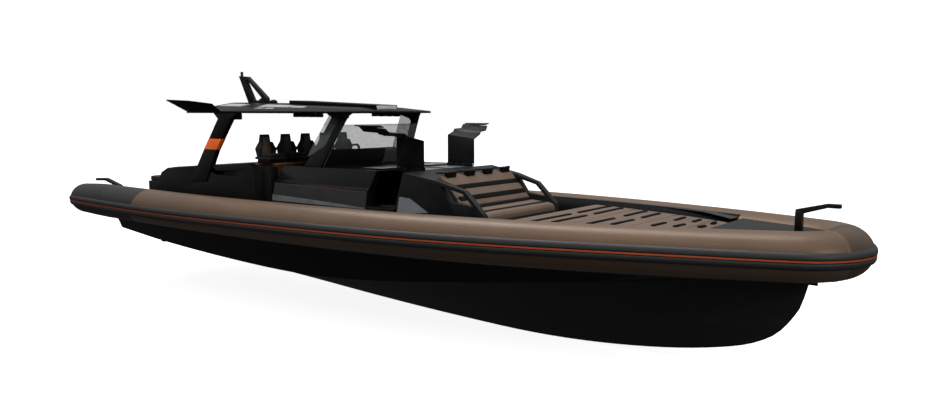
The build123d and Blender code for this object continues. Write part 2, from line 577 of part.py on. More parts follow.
DASH_Y = HELM_Y - 100
dash = prism_xz([(6740, 960), (6660, 1200), (6780, 1300), (7060, 1240), (7020, 960)], -DASH_Y, DASH_Y)
dash = dash - console - screen
WHEEL = Vector(6570, 0, 1120)
WHEEL_TILT = math.radians(25)
WHEEL_R = 170.0
RIM_R = 16.0
COLUMN_R = 15.0
wheel_axis = Vector(-math.cos(WHEEL_TILT), 0, math.sin(WHEEL_TILT))
wheel_plane = Plane(origin=WHEEL, z_dir=wheel_axis)
rim = Solid.make_cylinder(WHEEL_R + RIM_R, 1.5 * RIM_R, Plane((0, 0, -0.75 * RIM_R)))
rim = rim - Solid.make_cylinder(WHEEL_R - RIM_R, 2 * RIM_R, Plane((0, 0, -RIM_R)))
hub = Solid.make_cylinder(40, 30, Plane((0, 0, -15)))
spoke = block(-WHEEL_R + RIM_R / 2, WHEEL_R - RIM_R / 2, -12, 12, -6, 6)
bore = Solid.make_cylinder(COLUMN_R + RUN_FIT, 70, Plane((0, 0, -60)))
column = Solid.make_cylinder(COLUMN_R, 310, Plane((0, 0, -300)))
node("steering_wheel", wheel_plane.from_local_coords(rim.fuse(hub).fuse(spoke) - bore))
column = wheel_plane.from_local_coords(column) - console
column = max(column.solids(), key=lambda s: (s.center() - WHEEL).length * -1)
node("dash", dash.fuse(column))
node("helm_bulkhead", block(HELM_X[1] - 120, HELM_X[1], -HELM_Y + 5, HELM_Y - 5, SOLE_Z, 955))

# ---------------------------------------------------------------- stern

ARM_Y = (HALF_AFT - 220, HALF_AFT - 120)
bracket = prism_xz([(60, 420), (60, 480), (480, 500), (1080, 360), (1080, 300), (470, 440)], *ARM_Y)
bracket = bracket - tube - stern_cones[0]
node("stern_arms", port_and_starboard(max(bracket.solids(), key=lambda s: s.volume)))
ENGINE = (140.0, 960.0, 170.0)            # inner and outer y, top
node("engines", port_and_starboard(block(ENGINE_X[0] + 100, ENGINE_X[1] - 90, *ENGINE[:2], ENGINE_FLOOR,
                                         ENGINE[2])))
DRIVE_Y = 420.0
DRIVE_Z = -930.0
SWIVEL_X = 600.0          # the kingpin's station
LEG_R = 95.0
PROP_X = -260.0
PROP_R = 265.0
BLADES = 4
BLADE_PITCH = 35.0
# a blade's outline: distance from the shaft's line and half width
BLADE = [(50, 45), (110, 82), (180, 95), (235, 78), (PROP_R - 3, 28)]
KING_R = 20.0
SHAFT_R = 30.0
YOKE_CLEAR = 10.0
YOKE_T = 25.0


def upright(z0, z1, r):
    return cylinder((SWIVEL_X, DRIVE_Y, DRIVE_Z + z0), (SWIVEL_X, DRIVE_Y, DRIVE_Z + z1), r)


def shaft_line(x0, x1, r):
    return cylinder((x0, DRIVE_Y, DRIVE_Z), (x1, DRIVE_Y, DRIVE_Z), r)


yoke = LEG_R + YOKE_CLEAR + YOKE_T
flange = shaft_line(SWIVEL_X + LEG_R + YOKE_CLEAR, TRANSOM_X + 2, 2 * LEG_R) - hull_bottom - hull_top
for z in (-yoke, yoke - YOKE_T):
    flange = flange.fuse(block(SWIVEL_X - 35, SWIVEL_X + LEG_R + 20, DRIVE_Y - 40, DRIVE_Y + 40,
                               DRIVE_Z + z, DRIVE_Z + z + YOKE_T))
flange = flange.fuse(upright(-yoke, yoke, KING_R))
leg = shaft_line(PROP_X + 170, SWIVEL_X, LEG_R).fuse(upright(-LEG_R, LEG_R, LEG_R))
leg = leg - upright(-yoke, yoke, KING_R + RUN_FIT)
skeg = prism_xz([(-60, DRIVE_Z), (420, DRIVE_Z), (140, -1300), (-20, -1300)], DRIVE_Y - 12, DRIVE_Y + 12)
fin = prism_xz([(-80, DRIVE_Z), (350, DRIVE_Z), (200, -700), (-80, -700)], DRIVE_Y - 12, DRIVE_Y + 12)
leg = leg.fuse(skeg - upright(-yoke, yoke, KING_R + RUN_FIT)).fuse(fin)
leg = leg.fuse(shaft_line(PROP_X - 100, SWIVEL_X - 300, SHAFT_R))
propeller = shaft_line(PROP_X - 110, PROP_X + 160, 70)
for k in range(BLADES):
    blade = prism_xz([(-w, r) for r, w in BLADE] + [(w, r) for r, w in reversed(BLADE)], -5, 5)
    blade = blade.rotate(Axis.Z, BLADE_PITCH)
    blade = blade.moved(Location((PROP_X, DRIVE_Y, DRIVE_Z)))
    propeller = propeller.fuse(blade.rotate(Axis((0, DRIVE_Y, DRIVE_Z), (1, 0, 0)), 360 / BLADES * k))
propeller = propeller - shaft_line(PROP_X - 100, PROP_X + 200, SHAFT_R + RUN_FIT)
node("drive_flanges", port_and_starboard(flange))
node("drive_port", leg)
node("drive_starboard", leg.moved(Location((0, -2 * DRIVE_Y, 0))))
node("propeller_port", propeller)
node("propeller_starboard", propeller.mirror(Plane.XZ))

# ---------------------------------------------------------------- export

shift = Location((-ORIGIN_X, 0, -WATERLINE_Z))
os.makedirs("parts", exist_ok=True)
for name, solids in nodes.items():
    moved = [s.moved(shift) for s in solids]
    export_step(moved[0] if len(moved) == 1 else Compound(moved), f"parts/{name}.step")
    print(f"{name:20s} {len(moved):2d} {sum(s.volume for s in moved) / 1e9:8.3f} m3", all(s.is_valid for s in moved))
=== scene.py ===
"""Finish, soft goods and small fittings of a 17 m cabin RIB, laid out as an add-on."""
import bpy
import bmesh
import math
from bpy.props import FloatProperty, FloatVectorProperty, PointerProperty
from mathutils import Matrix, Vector


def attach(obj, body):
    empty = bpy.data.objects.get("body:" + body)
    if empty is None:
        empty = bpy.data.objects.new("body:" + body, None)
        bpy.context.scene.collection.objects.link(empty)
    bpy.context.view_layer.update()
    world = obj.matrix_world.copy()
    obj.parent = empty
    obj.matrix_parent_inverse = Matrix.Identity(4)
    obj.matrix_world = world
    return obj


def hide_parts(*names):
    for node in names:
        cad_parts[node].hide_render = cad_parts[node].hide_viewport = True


bl_info = {
    "name": "Cabin RIB finish",
    "version": (1, 0, 0),
    "blender": (4, 5, 0),
    "location": "View3D > Sidebar > RIB",
    "description": "Dresses the packed boat with its finishes, cushions and fittings",
    "category": "Object",
}

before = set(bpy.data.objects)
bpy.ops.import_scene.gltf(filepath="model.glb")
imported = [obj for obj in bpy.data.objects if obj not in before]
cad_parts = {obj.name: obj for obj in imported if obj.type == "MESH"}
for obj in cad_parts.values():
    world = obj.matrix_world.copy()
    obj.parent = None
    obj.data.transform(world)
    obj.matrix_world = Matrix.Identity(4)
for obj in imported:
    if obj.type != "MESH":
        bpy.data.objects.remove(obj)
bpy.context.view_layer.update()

# Places below are given in metres from the platform's aft edge (x) and from the collar's centre (z).
ORIGIN_X = 8.5                  # the frame's origin, in those terms
WATERLINE_Z = -1.0
LENGTH = 17.0                   # to the collar's foremost face at the bow
HALF_AFT = 2.3                  # half breadth of that centreline, at the stern and where it is widest
HALF_MAX = 2.4
WIDEST_X = 8.0
SIDE_R = 19.9                   # radius of the side's bend forward of there
BOW_TURN = 0.9                  # and from there back to the tight bend's start
COLLAR_R = 0.385
SHEER = math.radians(0.3)       # the collar's rise towards the bow
CONE_START = 1.0
SOLE_Z = -0.17                  # the topsides' upper edge, hidden behind the collar
ROOF_TOP = 0.98                 # the coachroof's top
COCKPIT_Y = 1.45                # half breadths of the cockpit, the console and the row of seats
CONSOLE_Y = 1.64
HELM_Y = 1.25
STRAKE_DEPTH = 0.043            # the strake's most, off the fabric, as its profiles are drawn


def place(x, y, z):
    """A place in the frame, from metres along, across and up."""
    return Vector((x - ORIGIN_X, y, z - WATERLINE_Z))


# ---------------------------------------------------------------- settings


def colour(name, description, default):
    return FloatVectorProperty(name=name, description=description, default=default, subtype="COLOR",
                               min=0, max=1)


def length(name, description, default):
    return FloatProperty(name=name, description=description, default=default, unit="LENGTH")


class CollarSettings(bpy.types.PropertyGroup):
    """Sizes and colours of the air chambers and their rubbing strake"""
    fabric: colour("Collar fabric", "Colour of the main chambers", (0.098, 0.062, 0.041))
    cones: colour("Stern cones", "Colour of the stern chambers", (0.025, 0.025, 0.0265))
    rubber: colour("Strake rubber", "Colour of the rubbing strake", (0.024, 0.024, 0.026))
    line: colour("Accent line", "Colour of the line in the strake", (0.42, 0.075, 0.018))
    inner: colour("Strake groove", "Colour of the thin line under the accent", (0.002, 0.010, 0.013))
    strake_proud: length("Strake depth", "How far the strake stands off the fabric", STRAKE_DEPTH)


class HullSettings(bpy.types.PropertyGroup):
    """Colours of the hull and decks"""
    topsides: colour("Topsides", "Gloss colour above the chine", (0.0035, 0.0035, 0.0042))
    bottom: colour("Bottom", "Matte colour below the chine", (0.018, 0.018, 0.0185))
    deck: colour("Deck", "Non-slip deck colour", (0.030, 0.027, 0.025))
    shell: colour("Superstructure", "Satin colour of roof, console and coachroof", (0.0095, 0.0095, 0.0102))
    accent: colour("Pillar band", "Colour of the band round the aft pillars", (0.95, 0.16, 0.02))


class SoftSettings(bpy.types.PropertyGroup):
    """Upholstery"""
    leather: colour("Leather", "Colour of the cushions", (0.108, 0.070, 0.048))
    bolster: colour("Bolsters", "Colour of the stripes, headrests and seat bolsters", (0.010, 0.010, 0.011))
    pressure: FloatProperty(name="Filling", description="Pressure that plumps the cushions", default=4.0)
    swell: length("Swell", "Most that a cushion's surface may move when it is plumped", 0.014)


class StageSettings(bpy.types.PropertyGroup):
    """Camera, lamps and floor"""
    lens: FloatProperty(name="Lens", description="Focal length on a 36 mm frame, in mm", default=32.0)
    camera: FloatVectorProperty(name="Camera place", description="Where the camera stands",
                                default=(10.968, -12.835, 3.126), subtype="TRANSLATION")
    heading: FloatProperty(name="Heading", description="Camera's heading from +X towards +Y",
                           default=math.radians(127.042), subtype="ANGLE")
    dip: FloatProperty(name="Dip", description="How far the camera looks down",
                       default=math.radians(6.852), subtype="ANGLE")
    key: FloatProperty(name="Key lamp", description="Strength of the large top lamp, in W", default=1650.0)
    fill: FloatProperty(name="Sky", description="Strength of the light from all round", default=0.66)


# ---------------------------------------------------------------- materials


class Value:
    """A socket used as a number: arithmetic on it adds Math nodes."""

    def __init__(self, finish, socket):
        self.finish = finish
        self.socket = socket

    def math(self, operation, *values):
        made = self.finish.node("ShaderNodeMath", {"operation": operation}, values)
        return Value(self.finish, made.outputs[0])

    def __add__(self, other):
        return self.math("ADD", self, other)

    def __sub__(self, other):
        return self.math("SUBTRACT", self, other)

    def __rsub__(self, other):
        return self.math("SUBTRACT", other, self)

    def __mul__(self, other):
        return self.math("MULTIPLY", self, other)

    def sine(self):
        return self.math("SINE", self)

    __radd__ = __add__
    __rmul__ = __mul__


class Finish:
    """One procedural material, read on Object coordinates."""

    def __init__(self, name, **constants):
        self.material = bpy.data.materials.new(name)
        self.material.use_nodes = True
        self.tree = self.material.node_tree
        self.shader = self.tree.nodes["Principled BSDF"]
        for key, value in constants.items():
            self.set(key.replace("_", " ").title().replace("Ior", "IOR"), value)
        self.place = self.node("ShaderNodeTexCoord").outputs["Object"]

    def feed(self, socket, value):
        """Links a value to an input, or sets the input to a constant."""
        if isinstance(value, Value):
            value = value.socket
        if isinstance(value, bpy.types.NodeSocket):
            self.tree.links.new(value, socket)
        elif isinstance(value, tuple) and len(value) < len(socket.default_value):
            socket.default_value = (*value, 1.0)
        else:
            socket.default_value = value

    def set(self, key, value):
        self.feed(self.shader.inputs[key], value)

    def node(self, kind, settings=None, inputs=()):
        """A node with its settings, then the values or links of its inputs."""
        made = self.tree.nodes.new(kind)
        for key, value in (settings or {}).items():
            setattr(made, key, value)
        for key, value in inputs.items() if isinstance(inputs, dict) else enumerate(inputs):
            self.feed(made.inputs[key], value)
        return made

    def axes(self):
        """The three coordinates on the piece, as values."""
        split = self.node("ShaderNodeSeparateXYZ", None, [self.place])
        return [Value(self, socket) for socket in split.outputs]

    def stretched(self, x, y, z):
        """Coordinates for a pattern that is drawn out along an axis."""
        return self.node("ShaderNodeMapping", None, {"Vector": self.place, "Scale": (x, y, z)}).outputs[0]

    def noise(self, scale, detail=4.0, roughness=0.55, place=None):
        made = self.node("ShaderNodeTexNoise", None, {
            "Vector": place or self.place, "Scale": scale, "Detail": detail, "Roughness": roughness})
        return Value(self, made.outputs["Fac"])

    def cells(self, scale):
        made = self.node("ShaderNodeTexVoronoi", {"feature": "F1"}, {"Vector": self.place, "Scale": scale})
        return Value(self, made.outputs["Distance"])

    def spread(self, value, low, high):
        """A value stretched so that low becomes 0 and high becomes 1."""
        made = self.node("ShaderNodeMapRange", None, {"Value": value, "From Min": low, "From Max": high})
        return Value(self, made.outputs["Result"])

    def mix(self, amount, first, second):
        """A colour between two; 0, 6 and 7 are the Mix node's inputs for colours."""
        return self.node("ShaderNodeMix", {"data_type": "RGBA"}, {0: amount, 6: first, 7: second}).outputs[2]

    def bump(self, height, strength, distance, under=None):
        inputs = {"Height": height, "Strength": strength, "Distance": distance}
        if under is not None:
            inputs["Normal"] = under
        return self.node("ShaderNodeBump", None, inputs).outputs["Normal"]


def shade(tint, factor):
    """A colour made lighter or darker."""
    return tuple(min(1.0, c * factor) for c in tint)


def coated_fabric(name, tint, gloss, shine=0.35, glint=(1.0, 1.0, 1.0)):
    """Coated collar cloth: fine weave, slow changes of tone, wipe marks and dust."""
    f = Finish(name, specular_ior_level=shine, specular_tint=glint)
    weave_x = (f.axes()[0] * 2400.0).sine()
    weave_z = (f.axes()[2] * 2400.0).sine()
    blotch = f.noise(1.3, 6.0)
    wiped = f.noise(3.0, 5.0, 0.6, f.stretched(0.25, 1.0, 2.5))
    dust = f.noise(90.0, 2.0)
    base = f.mix(f.spread(blotch, 0.3, 0.7), shade(tint, 0.9), shade(tint, 1.1))
    f.set("Base Color", f.mix(f.spread(wiped, 0.45, 0.8) * 0.25, base, shade(tint, 1.35)))
    f.set("Roughness", f.spread(wiped, 0.2, 0.8) * 0.10 + f.spread(dust, 0.3, 0.7) * 0.05 + gloss)
    f.set("Normal", f.bump(weave_x + weave_z, 0.08, 0.0006, f.bump(f.noise(9.0, 3.0), 0.05, 0.01)))
    return f.material


def moulded_rubber(name, tint, rough):
    """Extruded rubber with a fine grain, paler where it has rubbed."""
    f = Finish(name, specular_ior_level=0.4)
    scuff = f.noise(14.0, 6.0, 0.65, f.stretched(0.3, 1.0, 1.0))
    grain = f.noise(420.0, 2.0)
    f.set("Base Color", f.mix(f.spread(scuff, 0.5, 0.75) * 0.45, tint, shade(tint, 1.9)))
    f.set("Roughness", f.spread(scuff, 0.2, 0.8) * 0.15 + rough)
    f.set("Normal", f.bump(grain, 0.12, 0.0008))
    return f.material


def accent_paint(name, tint, rough=0.4):
    """Coloured moulding or wrap with a slight orange-peel and faded patches."""
    f = Finish(name, specular_ior_level=0.4)
    fade = f.noise(5.0, 4.0)
    f.set("Base Color", f.mix(f.spread(fade, 0.3, 0.7), shade(tint, 0.9), shade(tint, 1.08)))
    f.set("Roughness", f.spread(fade, 0.2, 0.8) * 0.1 + rough)
    f.set("Normal", f.bump(f.noise(140.0, 2.0), 0.05, 0.001))
    return f.material


def gloss_paint(name, tint, rough, shine=0.3):
    """Polished dark paint: faint orange-peel, slow waves in the moulding, a haze of dust."""
    f = Finish(name, specular_ior_level=shine)
    haze = f.noise(2.2, 6.0, 0.6)
    specks = f.noise(260.0, 2.0)
    f.set("Base Color", f.mix(f.spread(haze, 0.35, 0.75) * 0.5, tint, shade(tint, 1.7)))
    f.set("Roughness", f.spread(haze, 0.3, 0.8) * 0.08 + f.spread(specks, 0.5, 0.8) * 0.03 + rough)
    f.set("Normal", f.bump(f.noise(55.0, 2.0), 0.015, 0.001, f.bump(f.noise(0.9, 2.0), 0.04, 0.01)))
    return f.material


def bottom_paint(name, tint):
    """Matte underwater coating, rolled on, with faint runs along the hull."""
    f = Finish(name, specular_ior_level=0.25)
    runs = f.noise(4.0, 6.0, 0.6, f.stretched(0.18, 1.0, 1.0))
    stipple = f.noise(180.0, 3.0)
    f.set("Base Color", f.mix(f.spread(runs, 0.3, 0.75), shade(tint, 0.85), shade(tint, 1.35)))
    f.set("Roughness", f.spread(stipple, 0.3, 0.7) * 0.1 + 0.55)
    f.set("Normal", f.bump(stipple, 0.15, 0.0015))
    return f.material


def deck_covering(name, tint):
    """Foam decking in planks with fine grooves and a brushed grain."""
    f = Finish(name, roughness=0.75, specular_ior_level=0.2)
    plank = f.axes()[1] * (math.tau / 0.062)
    groove = f.spread(plank.sine(), 0.93, 0.985)
    grain = f.noise(60.0, 5.0, 0.6, f.stretched(0.15, 1.0, 1.0))
    base = f.mix(f.spread(grain, 0.3, 0.7), shade(tint, 0.8), shade(tint, 1.3))
    f.set("Base Color", f.mix(groove * 0.8, base, shade(tint, 0.25)))
    f.set("Normal", f.bump(1.0 - groove, 0.5, 0.003, f.bump(grain, 0.1, 0.001)))
    return f.material


def satin_moulding(name, tint, rough=0.42, shine=0.35):
    """Satin gelcoat with a fine leather-like texture and handling marks."""
    f = Finish(name, specular_ior_level=shine)
    marks = f.noise(3.5, 6.0, 0.6)
    pebble = f.cells(520.0)
    f.set("Base Color", f.mix(f.spread(marks, 0.35, 0.75), shade(tint, 0.85), shade(tint, 1.5)))
    f.set("Roughness", f.spread(marks, 0.3, 0.8) * 0.12 + rough)
    f.set("Normal", f.bump(pebble, 0.06, 0.0006, f.bump(f.noise(1.1, 2.0), 0.05, 0.015)))
    return f.material


def leather(name, tint, rough=0.5):
    """Marine leather: pebbled grain, soft creases, paler worn crowns."""
    f = Finish(name, specular_ior_level=0.35, sheen_weight=0.05)
    grain = f.cells(330.0)
    crease = f.noise(16.0, 5.0, 0.6)
    tone = f.noise(1.7, 5.0)
    base = f.mix(f.spread(tone, 0.3, 0.7), shade(tint, 0.88), shade(tint, 1.12))
    f.set("Base Color", f.mix(f.spread(grain, 0.0, 0.25), shade(tint, 0.7), base))
    f.set("Roughness", f.spread(crease, 0.2, 0.8) * 0.15 + rough)
    f.set("Normal", f.bump(grain, 0.15, 0.0008, f.bump(crease, 0.12, 0.004)))
    return f.material


def metal(name, tint, rough):
    """Brushed or ground metal with drawn scratches and a little staining."""
    f = Finish(name, metallic=1.0)
    drawn = f.noise(45.0, 5.0, 0.65, f.stretched(1.0, 1.0, 14.0))
    stain = f.noise(7.0, 5.0)
    f.set("Base Color", f.mix(f.spread(stain, 0.45, 0.8) * 0.5, tint, shade(tint, 0.55)))
    f.set("Roughness", f.spread(drawn, 0.2, 0.8) * 0.18 + rough)
    f.set("Normal", f.bump(drawn, 0.06, 0.0008))
    return f.material


def cast(name, tint):
    """Painted casting: coarse skin, oily patches."""
    f = Finish(name, specular_ior_level=0.4)
    coarse = f.noise(75.0, 4.0)
    oil = f.noise(4.0, 5.0)
    f.set("Base Color", f.mix(f.spread(oil, 0.45, 0.75), tint, shade(tint, 0.45)))
    f.set("Roughness", 0.75 - f.spread(oil, 0.45, 0.75) * 0.35)
    f.set("Normal", f.bump(coarse, 0.3, 0.003))
    return f.material


def tinted_glass(name, tint, cover):
    """Smoked glazing: mostly see-through, with a faint film of salt."""
    f = Finish(name, roughness=0.03, base_color=tint, specular_ior_level=0.5)
    salt = f.noise(22.0, 6.0, 0.7)
    f.set("Alpha", f.spread(salt, 0.45, 0.9) * 0.12 + cover)
    return f.material


WARM = (1.0, 0.80, 0.64)        # cast of the brown cloth's highlights


def make_finishes():
    """Every finish of the boat, by the name that the pieces ask for."""
    c = bpy.context.scene.rib_collar
    h = bpy.context.scene.rib_hull
    s = bpy.context.scene.rib_soft
    return {
        "collar": coated_fabric("collar_cloth", tuple(c.fabric), 0.30, 0.6, WARM),
        # the nose cap is the collar's own cloth made darker: painted shade on the forward-facing nose
        "cap": coated_fabric("nose_cloth_painted_shade", shade(tuple(c.fabric), 0.62), 0.32, 0.5, WARM),
        "cone": coated_fabric("cone_cloth", tuple(c.cones), 0.42),
        "strake": moulded_rubber("strake_rubber", tuple(c.rubber), 0.42),
        "line": accent_paint("accent_line", tuple(c.line), 0.38),
        "groove": accent_paint("groove_line", tuple(c.inner), 0.3),
        "topsides": gloss_paint("topside_paint", tuple(h.topsides), 0.16, 0.22),
        "bottom": bottom_paint("bottom_coating", tuple(h.bottom)),
        "deck": deck_covering("deck_covering", tuple(h.deck)),
        "shell": satin_moulding("satin_moulding", shade(tuple(h.shell), 0.62), 0.42, 0.28),
        "roof": gloss_paint("roof_paint", shade(tuple(h.shell), 0.35), 0.25, 0.06),
        "console": gloss_paint("console_paint", shade(tuple(h.shell), 0.45), 0.22, 0.3),
        "panel_grey": gloss_paint("console_panel", (0.024, 0.025, 0.026), 0.18, 0.5),
        # near-black finish that hardly reflects: the real black of the sunpad's bars, the backrest's stripes
        # and the headrest pads, and painted shade on the collar's inner side as the bow lining
        "lining": satin_moulding("matt_black_and_painted_shade", (0.0025, 0.0025, 0.0027), 0.55, 0.08),
        "deck_edge": satin_moulding("flange_moulding", (0.022, 0.022, 0.024), 0.45),
        # opaque pale grey for the coachroof's hatches and side lights: their paleness is a painted reflection
        # of the bright surroundings on the glass
        "skylight": gloss_paint("pale_glass_painted_reflection", (0.16, 0.175, 0.19), 0.06, 0.5),
        "trim": satin_moulding("black_trim", (0.004, 0.0038, 0.0038), 0.40, 0.25),
        "accent": accent_paint("pillar_band", tuple(h.accent), 0.35),
        "brown": accent_paint("brown_trim", (0.12, 0.055, 0.025), 0.4),
        "panel": gloss_paint("pale_panel", (0.32, 0.33, 0.35), 0.06, 0.5),
        "pale": satin_moulding("pale_strip", (0.12, 0.125, 0.13), 0.35),
        "leather": leather("brown_leather", tuple(s.leather)),
        "bolster": leather("black_leather", tuple(s.bolster), 0.38),
        "steel": metal("dark_steel", (0.10, 0.10, 0.105), 0.32),
        "bronze": metal("prop_bronze", (0.50, 0.36, 0.17), 0.24),
        "iron": cast("engine_casting", (0.22, 0.22, 0.22)),
        "glass": tinted_glass("smoked_glass", (0.13, 0.145, 0.155), 0.44),
    }


FINISH = {}


# ---------------------------------------------------------------- meshes


def new_piece(name, points, faces, finish, slot, body="hull", hides=(), sharp=40.0, welded=True):
    """A finished piece from points and faces: welded, outward, smooth but for its sharp edges."""
    mesh = bpy.data.meshes.new(name)
    mesh.from_pydata([tuple(p) for p in points], [], faces)
    shape = bmesh.new()
    shape.from_mesh(mesh)
    if welded:
        bmesh.ops.remove_doubles(shape, verts=shape.verts, dist=1e-5)
    bmesh.ops.recalc_face_normals(shape, faces=shape.faces)
    shape.to_mesh(mesh)
    shape.free()
    return finish_piece(name, mesh, finish, body, hides, sharp)


def finish_piece(name, mesh, finish, body="hull", hides=(), sharp=40.0):
    """A mesh as a piece of the boat: its finish, its body and what it stands for."""
    mesh.polygons.foreach_set("use_smooth", [True] * len(mesh.polygons))
    mesh.set_sharp_from_angle(angle=math.radians(sharp))
    mesh.materials.clear()
    mesh.materials.append(FINISH[finish])
    piece = bpy.data.objects.new(name, mesh)
    bpy.context.scene.collection.objects.link(piece)
    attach(piece, body)
    if hides:
        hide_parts(*hides)
    return piece


def skin(rings, capped=True):
    """Faces between like closed rings of points, with the end rings filled."""
    count = len(rings[0])
    points = [p for ring in rings for p in ring]
    faces = []
    for i in range(len(rings) - 1):
        for j in range(count):
            k = (j + 1) % count
            faces.append((i * count + j, i * count + k, (i + 1) * count + k, (i + 1) * count + j))
    if capped:
        faces.append(tuple(reversed(range(count))))
        faces.append(tuple(range((len(rings) - 1) * count, len(rings) * count)))
    return points, faces


def joined(parts):
    """Several (points, faces) as one."""
    points, faces = [], []
    for more_points, more_faces in parts:
        start = len(points)
        points.extend(more_points)
        faces.extend(tuple(i + start for i in face) for face in more_faces)
    return points, faces


def mirrored(part):
    """A part on the other side of the boat."""
    points, faces = part
    return [Vector((p[0], -p[1], p[2])) for p in points], [tuple(reversed(f)) for f in faces]


def both_sides(part):
    """A port part and its mirror image."""
    return joined([part, mirrored(part)])


def plate(outline, thickness):
    """A flat outline of points given a thickness vector."""
    return skin([outline, [p + thickness for p in outline]])


def box_part(low, high):
    """A box between two opposite corners."""
    (x0, y0, z0), (x1, y1, z1) = low, high
    ring = [Vector((x0, y0, z0)), Vector((x1, y0, z0)), Vector((x1, y1, z0)), Vector((x0, y1, z0))]
    return plate(ring, Vector((0, 0, z1 - z0)))


def tube_part(route, radius, sides=12):
    """A round bar along a route of points."""
    rings = []
    for i, p in enumerate(route):
        ahead = route[min(i + 1, len(route) - 1)] - route[max(i - 1, 0)]
        turn = ahead.to_track_quat("Z", "Y").to_matrix()
        rings.append([p + turn @ Vector((radius * math.cos(math.tau * k / sides),
                                         radius * math.sin(math.tau * k / sides), 0)) for k in range(sides)])
    return skin(rings)


def softened(route, radius, steps=4):
    """A route of straight runs with its corners rounded."""
    out = [route[0]]
    for before, corner, after in zip(route, route[1:], route[2:]):
        a = corner + (before - corner).normalized() * min(radius, (before - corner).length / 2)
        b = corner + (after - corner).normalized() * min(radius, (after - corner).length / 2)
        for k in range(steps + 1):
            t = k / steps
            out.append(a.lerp(corner, t).lerp(corner.lerp(b, t), t))
    out.append(route[-1])
    return out


def bevelled(piece, width, segments=2):
    """Rounds a piece's sharp edges for good."""
    modifier = piece.modifiers.new("edges", "BEVEL")
    modifier.width = width
    modifier.segments = segments
    modifier.limit_method = "ANGLE"
    modifier.angle_limit = math.radians(30)
    settle(piece)
    piece.data.polygons.foreach_set("use_smooth", [True] * len(piece.data.polygons))
    piece.data.set_sharp_from_angle(angle=math.radians(50))


def settle(piece):
    """Turns a piece's modifiers into its plain mesh."""
    done = bpy.data.meshes.new_from_object(piece.evaluated_get(bpy.context.evaluated_depsgraph_get()))
    piece.modifiers.clear()
    piece.data = done


def node_copy(node):
    """A CAD node's mesh with its loose triangles merged into faces."""
    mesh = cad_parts[node].data.copy()
    shape = bmesh.new()
    shape.from_mesh(mesh)
    bmesh.ops.remove_doubles(shape, verts=shape.verts, dist=2e-5)
    bmesh.ops.dissolve_limit(shape, angle_limit=math.radians(1.0), verts=shape.verts, edges=shape.edges)
    shape.to_mesh(mesh)
    shape.free()
    return mesh


def rounded_node(node, finish, slot, width, body="hull", segments=2):
    """A CAD node's own form with its edges rounded."""
    bevelled(finish_piece(node + "_finish", node_copy(node), finish, body, (node,)), width, segments)


def smooth_table(rows, column, x):
    """A column of a table of stations, read at x along a smooth curve."""
    xs = [row[0] for row in rows]
    i = max(0, min(len(xs) - 2, sum(1 for value in xs if value <= x) - 1))
    before = rows[max(i - 1, 0)]
    a, b = rows[i], rows[i + 1]
    after = rows[min(i + 2, len(rows) - 1)]
    step = b[0] - a[0]
    t = (x - a[0]) / step
    rise_a = (b[column] - before[column]) / (b[0] - before[0]) * step
    rise_b = (after[column] - a[column]) / (after[0] - a[0]) * step
    return ((2 * t ** 3 - 3 * t ** 2 + 1) * a[column] + (t ** 3 - 2 * t ** 2 + t) * rise_a
            + (3 * t ** 2 - 2 * t ** 3) * b[column] + (t ** 3 - t ** 2) * rise_b)


# ---------------------------------------------------------------- collar's path

BOW_START = LENGTH - BOW_TURN
SIDE_ANGLE = math.atan2(HALF_MAX - HALF_AFT, WIDEST_X)


def side_heading(x):
    """The side's angle from straight ahead, at a station."""
    return math.asin(math.sin(SIDE_ANGLE) - (x - WIDEST_X) / SIDE_R)


def side_breadth(x):
    """From the boat's middle to the collar's centreline, at a station."""
    if x <= WIDEST_X:
        return HALF_AFT + (HALF_MAX - HALF_AFT) * x / WIDEST_X
    return HALF_MAX + SIDE_R * (math.cos(side_heading(x)) - math.cos(SIDE_ANGLE))


BOW_HEADING = side_heading(BOW_START)
BOW_R = side_breadth(BOW_START) / math.cos(BOW_HEADING)
BOW_CENTRE = BOW_START + BOW_R * math.sin(BOW_HEADING)
PATH_END = BOW_START + BOW_R * (math.pi / 2 + BOW_HEADING)


def on_path(s):
    """Point of the collar's centreline and its heading, s metres along: x to the bow's bend, then arc."""
    if s <= BOW_START:
        return Vector((s, side_breadth(s), 0)), (SIDE_ANGLE if s <= WIDEST_X else side_heading(s))
    turn = BOW_HEADING - (s - BOW_START) / BOW_R
    return Vector((BOW_CENTRE - BOW_R * math.sin(turn), BOW_R * math.cos(turn), 0)), turn


# how far the soft collar settles below its straight line, and how it slims towards the bow
SAG = [(-0.60, 0.000), (0.60, 0.006), (1.60, 0.024), (3.40, 0.050), (5.20, 0.062), (6.80, 0.060),
       (9.00, 0.045), (12.00, 0.034), (14.30, 0.028), (16.60, 0.026)]
RADIUS = [(0.70, 0.390), (3.00, 0.390), (6.00, 0.387), (10.00, 0.377), (13.50, 0.366), (16.60, 0.366)]


def off_path(s, out, up):
    """A point beside the collar's centreline, tilted with its sheer; past the bow it is to starboard."""
    side = 1
    if s > PATH_END:
        s, side = 2 * PATH_END - s, -1
    centre, turn = on_path(s)
    p = centre + Vector((-math.sin(turn) * out, math.cos(turn) * out, up - smooth_table(SAG, 1, s)))
    x = p.x * math.cos(SHEER) - p.z * math.sin(SHEER)
    z = p.x * math.sin(SHEER) + p.z * math.cos(SHEER)
    return place(x, p.y * side, z)


# the stern chambers end in a blunt round nose, then widen slightly to the full radius
TIP_X = -0.600
NOSE_X = -0.100
NOSE_R = 0.352


